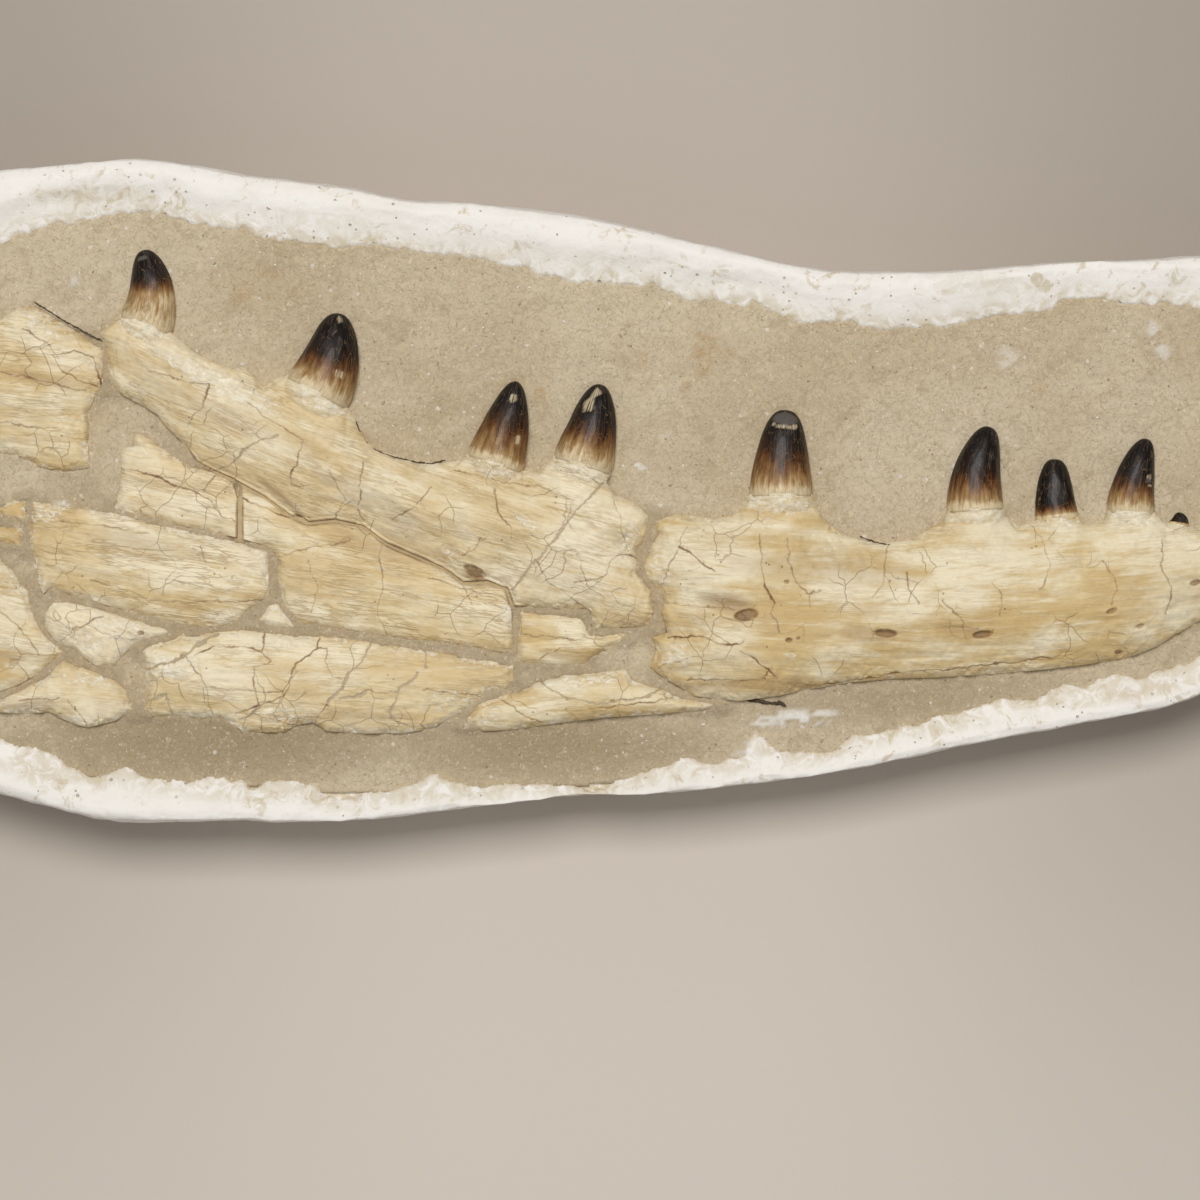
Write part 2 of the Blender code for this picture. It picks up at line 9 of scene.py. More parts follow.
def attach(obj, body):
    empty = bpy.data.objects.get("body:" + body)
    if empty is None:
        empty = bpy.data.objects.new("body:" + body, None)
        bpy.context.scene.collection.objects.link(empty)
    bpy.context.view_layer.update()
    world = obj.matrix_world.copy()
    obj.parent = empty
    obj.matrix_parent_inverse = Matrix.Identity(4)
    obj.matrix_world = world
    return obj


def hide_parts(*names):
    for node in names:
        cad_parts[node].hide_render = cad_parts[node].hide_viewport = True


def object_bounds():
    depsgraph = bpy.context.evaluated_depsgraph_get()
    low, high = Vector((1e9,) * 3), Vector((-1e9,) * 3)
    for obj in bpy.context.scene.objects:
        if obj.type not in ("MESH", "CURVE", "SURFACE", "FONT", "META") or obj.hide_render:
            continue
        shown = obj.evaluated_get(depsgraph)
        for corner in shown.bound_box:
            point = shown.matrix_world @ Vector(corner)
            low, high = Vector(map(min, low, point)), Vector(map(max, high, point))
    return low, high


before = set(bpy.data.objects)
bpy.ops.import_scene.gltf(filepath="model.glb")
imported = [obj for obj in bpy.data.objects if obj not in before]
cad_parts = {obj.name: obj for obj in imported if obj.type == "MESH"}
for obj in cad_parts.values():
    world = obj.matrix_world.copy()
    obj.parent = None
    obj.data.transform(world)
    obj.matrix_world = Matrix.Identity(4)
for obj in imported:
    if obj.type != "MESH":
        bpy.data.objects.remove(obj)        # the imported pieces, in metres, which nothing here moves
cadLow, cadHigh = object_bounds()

# Fossil jaw in its plaster jacket, seen from above. Lengths are millimetres unless a line says metres.
mm = 0.001
coarser = 1.0        # longer mesh edges while trying things
matrixTop = 43.0                            # usual height of the sandy surface


# Camera and colour, set first
cameraPlan = dict(
    frameWidth=480.0,        # what the square frame spans on the faces of the bones
    lookAt=(0.0, -44.0),     # middle of the frame
    faceHeight=47.0,
    lens=100.0,
)


def placeCamera(plan):
    data = bpy.data.cameras.new("camera")
    data.lens = plan["lens"]
    distance = plan["frameWidth"] * plan["lens"] / data.sensor_width
    data.clip_start, data.clip_end = 0.05, 30.0
    camera = bpy.data.objects.new("camera", data)
    x, y = plan["lookAt"]
    camera.location = (x * mm, y * mm, (plan["faceHeight"] + distance) * mm)
    bpy.context.scene.collection.objects.link(camera)
    bpy.context.scene.camera = camera
    bpy.context.scene.view_settings.view_transform = "Standard"


placeCamera(cameraPlan)
print("camera placed")


# Noise, distances and meshes that all the pieces use
shuffled = np.tile(np.random.default_rng(11).permutation(256), 2)
levels = np.random.default_rng(12).uniform(-1, 1, 256)


def smoothNoise(x, y, z=0.0, seed=0):        # even noise from -1 to 1, one bump per unit
    x, y, z = np.broadcast_arrays(x + 31.7 * seed, y - 17.3 * seed, z)
    cells = [np.floor(a).astype(int) for a in (x, y, z)]
    parts = [a - cell for a, cell in zip((x, y, z), cells)]
    eases = [part * part * (3 - 2 * part) for part in parts]
    total = 0.0
    for corner in range(8):
        steps = [(corner >> axis) & 1 for axis in range(3)]
        weight = 1.0
        for step, ease in zip(steps, eases):
            weight = weight * (ease if step else 1 - ease)
        spot = shuffled[(cells[0] + steps[0]) & 255]
        spot = shuffled[(spot + cells[1] + steps[1]) & 255]
        total = total + weight * levels[shuffled[(spot + cells[2] + steps[2]) & 255]]
    return total


def roughNoise(x, y, z=0.0, octaves=3, seed=0):
    total, size = 0.0, 1.0
    for octave in range(octaves):
        total = total + size * smoothNoise(x * 2**octave, y * 2**octave, z * 2**octave, seed + octave)
        size *= 0.5
    return total


def smoothStep(value, low, high):
    share = np.clip((value - low) / (high - low), 0, 1)
    return share * share * (3 - 2 * share)


def linesOf(points, closed=False):
    ends = points[1:] + (points[:1] if closed else [])
    return list(zip(points, ends))


def distanceTo(x, y, lines):
    nearest = np.full(np.shape(x), 1e6)
    for (ax, ay), (bx, by) in lines:
        dx, dy = bx - ax, by - ay
        share = np.clip(((x - ax) * dx + (y - ay) * dy) / (dx * dx + dy * dy), 0, 1)
        nearest = np.minimum(nearest, np.hypot(x - ax - share * dx, y - ay - share * dy))
    return nearest


def insideOf(x, y, lines):
    inside = np.zeros(np.shape(x), bool)
    for (ax, ay), (bx, by) in lines:
        if ay != by:
            crosses = (ay > y) != (by > y)
            inside ^= crosses & (x < ax + (y - ay) / (by - ay) * (bx - ax))
    return inside


def lookUp(box, step, measure):        # measure worked out once on a grid of places, then read from it
    low, high = box
    xs = np.arange(low[0] - step, high[0] + 2 * step, step)
    ys = np.arange(low[1] - step, high[1] + 2 * step, step)
    values = measure(*np.meshgrid(xs, ys, indexing="ij"))

    def read(x, y):
        i = np.clip(np.rint((x - xs[0]) / step).astype(int), 0, len(xs) - 1)
        j = np.clip(np.rint((y - ys[0]) / step).astype(int), 0, len(ys) - 1)
        return values[i, j]
    return read


def nearSoft(x, y, patches):        # strongest of some soft ellipses: x, y, long, short, turn, strength
    total = np.zeros(np.shape(x))
    for px, py, long, short, turn, strength in patches:
        c, s = math.cos(math.radians(turn)), math.sin(math.radians(turn))
        u = ((x - px) * c + (y - py) * s) / long
        v = (-(x - px) * s + (y - py) * c) / short
        total = np.maximum(total, strength * np.clip(1 - (u * u + v * v), 0, 1))
    return total


def spotOf(x, y, spot, wider=0.0):        # one soft ellipse at full strength, its last number left aside
    px, py, long, short, turn = spot[:5]
    return nearSoft(x, y, [(px, py, long + wider, short + wider, turn, 1.0)])


scratch = bpy.data.meshes.new("scratch")


def rowsOf(items, what):        # three numbers for each item of the spare mesh
    rows = np.empty(len(items) * 3, np.float32)
    items.foreach_get(what, rows)
    return rows.reshape(-1, 3)


def cornersOf(bm):        # corner places in mm, read through a spare mesh because that is quick
    bm.to_mesh(scratch)
    return rowsOf(scratch.vertices, "co").astype(float) / mm


def refine(bm, wanted, rounds):        # halves edges until none is longer than wanted(x, y, z)
    for step in range(rounds):
        places = cornersOf(bm)
        pairs = np.empty(len(scratch.edges) * 2, np.int32)
        scratch.edges.foreach_get("vertices", pairs)
        start, end = places[pairs[0::2]], places[pairs[1::2]]
        middle = (start + end) / 2
        limit = wanted(middle[:, 0], middle[:, 1], middle[:, 2]) * coarser
        long = np.flatnonzero(np.linalg.norm(end - start, axis=1) > limit)
        if not len(long):
            break
        bm.edges.ensure_lookup_table()
        bmesh.ops.subdivide_edges(bm, edges=[bm.edges[i] for i in long], cuts=1)
        bmesh.ops.triangulate(bm, faces=[face for face in bm.faces if len(face.verts) > 3])
        if step < 3:
            flat = [edge for edge in bm.edges if len(edge.link_faces) == 2 and edge.calc_face_angle(0) < 0.35]
            bmesh.ops.beautify_fill(bm, faces=bm.faces, edges=flat)


def copyOfNode(node):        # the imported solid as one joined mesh
    bm = bmesh.new()
    bm.from_mesh(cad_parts[node].data)
    bmesh.ops.remove_doubles(bm, verts=bm.verts, dist=1e-6)
    bm.normal_update()
    return bm


def undersideEdge(bm):        # straight lines round the flat underside, in mm
    lowest = min(vert.co.z for vert in bm.verts) + 0.02 * mm
    lines = []
    for edge in bm.edges:
        under = [all(vert.co.z < lowest for vert in face.verts) for face in edge.link_faces]
        if under.count(True) == 1 and under.count(False) == 1:
            lines.append(tuple((vert.co.x / mm, vert.co.y / mm) for vert in edge.verts))
    return lines


def finishPiece(name, bm, places, node, finish, marks):        # marks are per-corner attributes
    for face in bm.faces:
        face.smooth = True
    mesh = bpy.data.meshes.new(name)
    bm.to_mesh(mesh)
    bm.free()
    inBox = np.clip(places * mm, np.array(cadLow), np.array(cadHigh))
    mesh.vertices.foreach_set("co", inBox.astype(np.float32).ravel())
    mesh.update()
    for markName, values in marks.items():
        values = np.asarray(values, np.float32)
        kind = "FLOAT" if values.ndim == 1 else "FLOAT_VECTOR"
        mark = mesh.attributes.new(markName, kind, "POINT")
        mark.data.foreach_set("value" if kind == "FLOAT" else "vector", values.ravel())
    mesh.materials.clear()
    mesh.materials.append(finish)
    piece = bpy.data.objects.new(name, mesh)
    bpy.context.scene.collection.objects.link(piece)
    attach(piece, "root")
    if node:
        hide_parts(node)
    print(name, "has", len(mesh.polygons), "faces")


# Short forms for building a material
class Amount:        # a number inside a material: + - and * add Math nodes
    def __init__(self, finish, socket):
        self.finish, self.socket = finish, socket

    def math(self, operation, other=0.5, clamp=False):
        node = self.finish.add("Math", {0: self, 1: other}, operation=operation, use_clamp=clamp)
        return Amount(self.finish, node.outputs[0])

    def __add__(self, other):
        return self.math("ADD", other)

    def __sub__(self, other):
        return self.math("SUBTRACT", other)

    def __mul__(self, other):
        return self.math("MULTIPLY", other)

    def between(self, low, high, outLow=0.0, outHigh=1.0):        # eased from outLow to outHigh
        values = {"Value": self, "From Min": low, "From Max": high, "To Min": outLow, "To Max": outHigh}
        node = self.finish.add("MapRange", values, interpolation_type="SMOOTHSTEP")
        return Amount(self.finish, node.outputs[0])

    def ridges(self, wide):        # thin lines where a noise crosses its middle
        return (self - 0.5).math("ABSOLUTE").between(0.0, wide, 1, 0)


class Finish:        # a material, painted layer over layer from a starting colour
    def __init__(self, name, colours, start, roughness):
        self.material = bpy.data.materials.new(name)
        self.material.use_nodes = True
        self.tree = self.material.node_tree
        self.shader = self.tree.nodes["Principled BSDF"]
        self.colours, self.colour = colours, colours[start]
        self.gloss({"Roughness": roughness})

    def add(self, kind, values, **settings):
        node = self.tree.nodes.new("ShaderNode" + kind)
        for key, value in settings.items():
            setattr(node, key, value)
        for key, value in values.items():
            if isinstance(value, Amount):
                value = value.socket
            if isinstance(value, bpy.types.NodeSocket):
                self.tree.links.new(value, node.inputs[key])
            else:
                node.inputs[key].default_value = value
        return node

    def gloss(self, values):
        for key, value in values.items():
            self.shader.inputs[key].default_value = value

    def objectPlace(self):
        return self.add("TexCoord", {}).outputs["Object"]

    def vectorMark(self, name):
        return self.add("Attribute", {}, attribute_name=name).outputs["Vector"]

    def mark(self, name):
        return Amount(self, self.add("Attribute", {}, attribute_name=name).outputs["Fac"])

    def stretched(self, vector, scale, shift=(0, 0, 0)):
        return self.add("Mapping", {"Vector": vector, "Scale": scale, "Location": shift}).outputs[0]

    def pushed(self, vector, scale, amount):        # moved about by noise, amount in metres
        noise = self.add("TexNoise", {"Vector": vector, "Scale": scale, "Detail": 2.0}).outputs[1]
        moved = self.add("VectorMath", {0: noise, 1: (amount, amount, amount)}, operation="MULTIPLY")
        return self.add("VectorMath", {0: vector, 1: moved.outputs[0]}, operation="ADD").outputs[0]

    def noise(self, vector, scale, detail=4.0, roughness=0.55, distortion=0.0):
        values = dict(Vector=vector, Scale=scale, Detail=detail, Roughness=roughness, Distortion=distortion)
        return Amount(self, self.add("TexNoise", values).outputs[0])

    def streaks(self, vector, scale, shift, *settings):
        return self.noise(self.stretched(vector, scale, shift), 1.0, *settings)

    def cells(self, vector, scale, feature="F1"):
        node = self.add("TexVoronoi", {"Vector": vector, "Scale": scale}, feature=feature)
        return Amount(self, node.outputs[0])

    def spots(self, vector, scale, rare, common, size, core):        # one in some cells, chosen by its colour
        cells = self.add("TexVoronoi", {"Vector": vector, "Scale": scale})
        chance = Amount(self, self.add("SeparateColor", {0: cells.outputs["Color"]}).outputs[0])
        depth = Amount(self, cells.outputs["Distance"]).between(size * core, size, 1, 0)
        return chance.between(rare, common) * depth

    def cover(self, share, name):        # paints the named colour over what is there
        values = {0: share, 6: self.colour, 7: self.colours[name]}
        self.colour = self.add("Mix", values, data_type="RGBA", blend_type="MIX").outputs[2]

    def done(self, height=None, relief=0.0):        # relief in mm
        self.tree.links.new(self.colour, self.shader.inputs["Base Color"])
        if height:
            bump = self.add("Bump", {"Height": height, "Distance": relief * mm, "Strength": 1.0})
            self.tree.links.new(bump.outputs[0], self.shader.inputs["Normal"])
        return self.material


# Bone: cream, with fibres along the jaw, chalky broken edges, brown cracks and stains, and painted shade
# inside the nerve openings and along the grooves
boneColours = dict(
    pale=(0.87, 0.775, 0.56, 1), cream=(0.775, 0.635, 0.38, 1), gold=(0.66, 0.48, 0.22, 1),
    fibre=(0.45, 0.31, 0.145, 1), stainAndGrooveShade=(0.34, 0.205, 0.085, 1), chalk=(0.91, 0.845, 0.69, 1),
    dust=(0.60, 0.51, 0.355, 1), crack=(0.22, 0.115, 0.042, 1), fill=(0.51, 0.41, 0.265, 1),
    warm=(0.60, 0.425, 0.185, 1), bleached=(0.93, 0.82, 0.60, 1),
)


def makeBoneFinish(colours):
    bone = Finish("boneFinish", colours, "pale", 0.6)
    place = bone.objectPlace()
    grain = bone.vectorMark("grain")
    patches = bone.noise(place, 24, 5, 0.6)
    bone.cover(patches.between(0.40, 0.60), "cream")
    bands = bone.streaks(grain, (0.020, 0.085, 1), (0, 0, 0), 5, 0.62, 0.3) * 0.6 + patches * 0.4
    bone.cover(bands.between(0.44, 0.58, 0, 0.95), "gold")
    bone.cover(bone.mark("bleached"), "bleached")
    bone.cover(bone.mark("warm") * bands.between(0.34, 0.56, 0.25, 1.0), "warm")
    dusty = bone.streaks(grain, (0.03, 0.07, 1), (40, 9, 0), 5, 0.65).between(0.52, 0.68)
    bone.cover(dusty * bone.mark("dust"), "dust")
    streaks = bone.streaks(grain, (0.05, 0.5, 1), (3, 5, 0), 5, 0.65, 0.4)
    bone.cover(streaks.between(0.54, 0.68, 0, 0.6), "pale")
    bone.cover(streaks.between(0.32, 0.47, 0.6, 0), "gold")
    where = bone.streaks(grain, (0.035, 0.10, 1), (7, 1, 0), 4).between(0.40, 0.60)
    longFibres = bone.streaks(grain, (0.030, 0.30, 1), (9, 2, 0), 3, 0.55, 0.15).ridges(0.035)
    shortFibres = bone.streaks(grain, (0.075, 0.62, 1), (1, 8, 0), 2, 0.5, 0.2).ridges(0.05)
    fibres = longFibres.math("MAXIMUM", shortFibres * 0.8) * ((where + 0.30) * bone.mark("fibrous")) * 0.62
    bone.cover(fibres, "fibre")
    # stain patches: real stains, and the patches laid along the grooves paint the shade in them
    bone.cover(bone.mark("stainAndGrooveShade") * streaks.between(0.25, 0.6, 0.5, 1.0), "stainAndGrooveShade")
    cells = bone.cells(bone.pushed(place, 90, 0.007), 70.0, "DISTANCE_TO_EDGE")
    hairline = cells.between(0.0, 0.016, 1, 0) * bone.noise(place, 34, 2).between(0.5, 0.6)
    bone.cover(hairline * 0.5, "stainAndGrooveShade")
    mottle = bone.noise(place, 380, 5, 0.7)
    flaky = bone.streaks(grain, (0.3, 0.6, 1), (5, 5, 0), 6, 0.68, 1.2)
    chalk = (bone.mark("chalk") * 0.30 + flaky).between(0.62, 0.74) * mottle.between(0.35, 0.62, 1.0, 0.35)
    bone.cover(chalk, "chalk")
    pores = bone.cells(bone.pushed(place, 300, 0.001), 300.0)
    pore = pores.between(0.07, 0.15, 1, 0) * bone.noise(place, 75, 2).between(0.57, 0.65)
    bone.cover(pore * 0.5, "stainAndGrooveShade")
    # crack colour: the real cracks, and also the painted shade inside the nerve openings
    bone.cover(bone.mark("crack"), "crack")
    bone.cover(bone.mark("fill"), "fill")
    bone.gloss({"Specular IOR Level": 0.35})
    height = fibres * -0.45 + streaks * 0.8 + mottle * 0.5 + flaky * chalk * 0.5 - hairline * 0.5 - pore
    return bone.done(height, 0.4)


# Matrix: fine sandy sediment with a few shell specks
matrixColours = dict(
    sand=(0.60, 0.485, 0.32, 1), dark=(0.435, 0.34, 0.212, 1), pale=(0.69, 0.585, 0.42, 1),
    rust=(0.53, 0.33, 0.15, 1), shell=(0.83, 0.78, 0.68, 1), grit=(0.25, 0.18, 0.11, 1),
    shade=(0.375, 0.285, 0.172, 1), smear=(0.90, 0.87, 0.81, 1), joint=(0.62, 0.48, 0.27, 1),
)
matrixSpecks = [        # cells per metre, share of cells left out, size, colour
    (280.0, 0.94, 0.26, "shell"), (620.0, 0.93, 0.30, "shell"),
    (380.0, 0.965, 0.24, "grit"), (760.0, 0.945, 0.30, "grit"),
]


def makeMatrixFinish(colours):
    matrix = Finish("matrixFinish", colours, "sand", 0.92)
    place = matrix.objectPlace()
    matrix.cover(matrix.noise(place, 16, 5, 0.6).between(0.35, 0.68), "pale")
    matrix.cover(matrix.mark("shade"), "shade")
    blots = matrix.noise(place, 85, 5, 0.65, 0.8)
    fine = matrix.noise(place, 430, 5, 0.75, 1.8)
    grains = matrix.noise(place, 1150, 3, 0.7)
    matrix.cover(blots.between(0.5, 0.66, 0, 0.42), "dark")
    matrix.cover(fine.between(0.5, 0.64, 0, 0.75), "dark")
    matrix.cover(fine.between(0.34, 0.47, 0.85, 0), "pale")
    matrix.cover(grains.between(0.54, 0.68, 0, 0.25), "dark")
    matrix.cover(grains.between(0.34, 0.46, 0.25, 0), "pale")
    rust = matrix.noise(place, 46, 3).between(0.66, 0.80, 0, 0.3)
    rusty = matrix.mark("rusty") * blots.between(0.46, 0.62, 0, 0.6)
    matrix.cover(rust.math("MAXIMUM", rusty), "rust")
    speckPlace = matrix.pushed(place, 700, 0.0016)
    for scale, rare, size, tone in matrixSpecks:
        matrix.cover(matrix.spots(speckPlace, scale, rare, rare + 0.01, size, 0.6) * 0.7, tone)
    matrix.cover(matrix.mark("smear") * fine.between(0.38, 0.5, 0.75, 1), "smear")
    matrix.cover(matrix.mark("joint"), "joint")
    matrix.gloss({"Specular IOR Level": 0.2})
    return matrix.done(fine + matrix.noise(place, 130, 5, 0.65) * 1.6, 0.65)


# Plaster: rough white, brushed by hand, with pits and sandy dirt
plasterColours = dict(
    white=(0.92, 0.885, 0.835, 1), cool=(0.86, 0.815, 0.75, 1), dirt=(0.62, 0.525, 0.355, 1),
    pit=(0.47, 0.38, 0.25, 1),
)


def makePlasterFinish(colours):
    plaster = Finish("plasterFinish", colours, "white", 0.85)
    place = plaster.objectPlace()
    plaster.cover(plaster.noise(place, 22, 5, 0.6).between(0.46, 0.72, 0, 0.8), "cool")
    swirl = plaster.noise(place, 240, 4, 0.65, 2.2)
    sand = plaster.noise(place, 150, 5, 0.7, 1.0)
    plaster.cover(plaster.mark("dirt") * sand.between(0.37, 0.56) * 0.8, "dirt")
    patch = plaster.noise(place, 40, 3).between(0.42, 0.58)
    plaster.cover(sand.between(0.54, 0.64, 0, 0.7) * patch, "dirt")
    where = plaster.noise(place, 55, 2).between(0.40, 0.62)
    large = plaster.spots(place, 230.0, 0.76, 0.80, 0.17, 0.5) * where
    small = plaster.spots(place, 420.0, 0.76, 0.80, 0.2, 0.5) * where
    pits = large.math("ADD", small, clamp=True)
    plaster.cover(pits * 0.7, "pit")
    plaster.gloss({"Specular IOR Level": 0.3})
    return plaster.done(swirl * 0.7 + plaster.noise(place, 90, 5, 0.6, 0.6) * 1.1 - pits * 1.6, 0.36)


# Enamel: near black at the point, brown below, tan at the base, with fine lengthwise streaks and a painted
# grey sheen on the top of the dark part
enamelColours = dict(
    black=(0.0055, 0.003, 0.0022, 1), umber=(0.032, 0.011, 0.004, 1), brown=(0.14, 0.056, 0.016, 1),
    tan=(0.36, 0.215, 0.085, 1), pale=(0.72, 0.59, 0.37, 1), paintedSheen=(0.042, 0.036, 0.033, 1),
    worn=(0.12, 0.105, 0.092, 1), chip=(0.60, 0.49, 0.32, 1),
)
enamelStops = [(0.02, "pale"), (0.22, "tan"), (0.44, "brown"), (0.58, "umber"), (0.70, "black")]


def makeEnamelFinish(colours):
    enamel = Finish("enamelFinish", colours, "black", 0.3)
    wrap = enamel.vectorMark("wrap")
    streaks = enamel.streaks(wrap, (1.4, 1.4, 0.38), (0, 0, 0), 5, 0.62)
    blotch = enamel.streaks(wrap, (0.42, 0.42, 0.8), (4, 1, 7), 4, 0.58)
    tone = enamel.mark("tone") + (streaks - 0.5) * 0.36 + (blotch - 0.5) * 0.6
    ramp = enamel.add("ValToRGB", {0: tone})
    ends = [ramp.color_ramp.elements[0], ramp.color_ramp.elements[1]]
    for end, (position, name) in zip(ends, (enamelStops[0], enamelStops[-1])):
        end.position, end.color = position, colours[name]
    for position, name in enamelStops[1:-1]:
        ramp.color_ramp.elements.new(position).color = colours[name]
    enamel.colour = ramp.outputs[0]
    # painted highlight: a grey sheen laid on the upward-facing middle of the dark crown
    enamel.cover(blotch.between(0.46, 0.62, 0, 0.8) * enamel.mark("paintedSheen"), "paintedSheen")
    cells = enamel.cells(enamel.stretched(wrap, (0.42, 0.42, 1.1)), 1.0, "DISTANCE_TO_EDGE")
    crazed = cells.between(0.0, 0.03, 1, 0) * blotch.between(0.44, 0.52)
    enamel.cover(crazed * 0.6, "tan")
    enamel.cover(enamel.mark("chip") * streaks.between(0.38, 0.56) * 0.9, "chip")
    enamel.cover(enamel.mark("worn") * 0.85, "worn")
    rough = enamel.mark("chip") * 0.35 + tone.between(0.1, 0.55, 0.52, 0.40)
    enamel.tree.links.new(rough.socket, enamel.shader.inputs["Roughness"])
    enamel.gloss({"Specular IOR Level": 0.2, "Coat Weight": 0.08, "Coat Roughness": 0.06})
    return enamel.done(streaks + blotch * 1.5 - crazed * 0.5, 0.16)


def makeGrainFinish(colours):
    grain = Finish("grainFinish", colours, "dark", 0.75)
    tone = grain.mark("tone")
    fine = grain.noise(grain.objectPlace(), 1500, 3)
    grain.cover(tone.between(0.35, 0.6), "sand")
    grain.cover(tone.between(0.66, 0.72), "shell")
    grain.cover(fine.between(0.4, 0.7, 0, 0.5), "dark")
    return grain.done(fine, 0.15)


crumbColours = dict(dark=(0.035, 0.02, 0.012, 1), brown=(0.13, 0.08, 0.045, 1))


def makeCrumbFinish(colours):
    crumb = Finish("crumbFinish", colours, "dark", 0.6)
    fine = crumb.noise(crumb.objectPlace(), 700, 4, 0.7)
    crumb.cover(fine.between(0.4, 0.65), "brown")
    return crumb.done(fine, 0.3)


finishes = dict(
    bone=makeBoneFinish(boneColours), matrix=makeMatrixFinish(matrixColours),
    plaster=makePlasterFinish(plasterColours), enamel=makeEnamelFinish(enamelColours),
    grain=makeGrainFinish(matrixColours), crumb=makeCrumbFinish(crumbColours),
)
print("finishes made")

# The teeth, needed for the bones too: the ends of the base on the jaw, the point, how blunt the crown
# is, and the shares of its length where the pale base ends and the black begins
teeth = dict(
    tooth_01=dict(left=(-192, 70.5), right=(-171.5, 63), point=(-183.2, 96), blunt=0.4, base=0.38, dark=0.66),
    tooth_02=dict(left=(-125, 46), right=(-101, 33), point=(-105.2, 70.8), blunt=0.42, base=0.13, dark=0.56),
    tooth_03=dict(left=(-53, 15), right=(-31, 7.5), point=(-33.6, 43.6), blunt=0.5, base=0.06, dark=0.66),
    tooth_04=dict(left=(-18.5, 14), right=(4.5, 7), point=(0, 42.4), blunt=0.44, base=0.13, dark=0.56),
    tooth_05=dict(left=(60, -1.5), right=(85, -1.5), point=(74.8, 32), blunt=0.36, base=0.08, dark=0.66),
    tooth_06=dict(left=(139, -8), right=(161.5, -6.5), point=(156.4, 25.2), blunt=0.4, base=0.05, dark=0.50),
    tooth_07=dict(left=(174.5, -12), right=(191.5, -10), point=(182.4, 12.4), blunt=0.33, base=0.01,
                  dark=0.26),
    tooth_08=dict(left=(203, -8), right=(222, -9), point=(219.4, 20.4), blunt=0.42, base=0.08, dark=0.52),
    tooth_09=dict(left=(228, -13), right=(236, -14.5), point=(231.4, -9), blunt=0.5, base=0.02, dark=0.2),
    tooth_10=dict(left=(249, -9.5), right=(261, -11), point=(258.5, 12), blunt=0.45, base=0.12, dark=0.45),
)

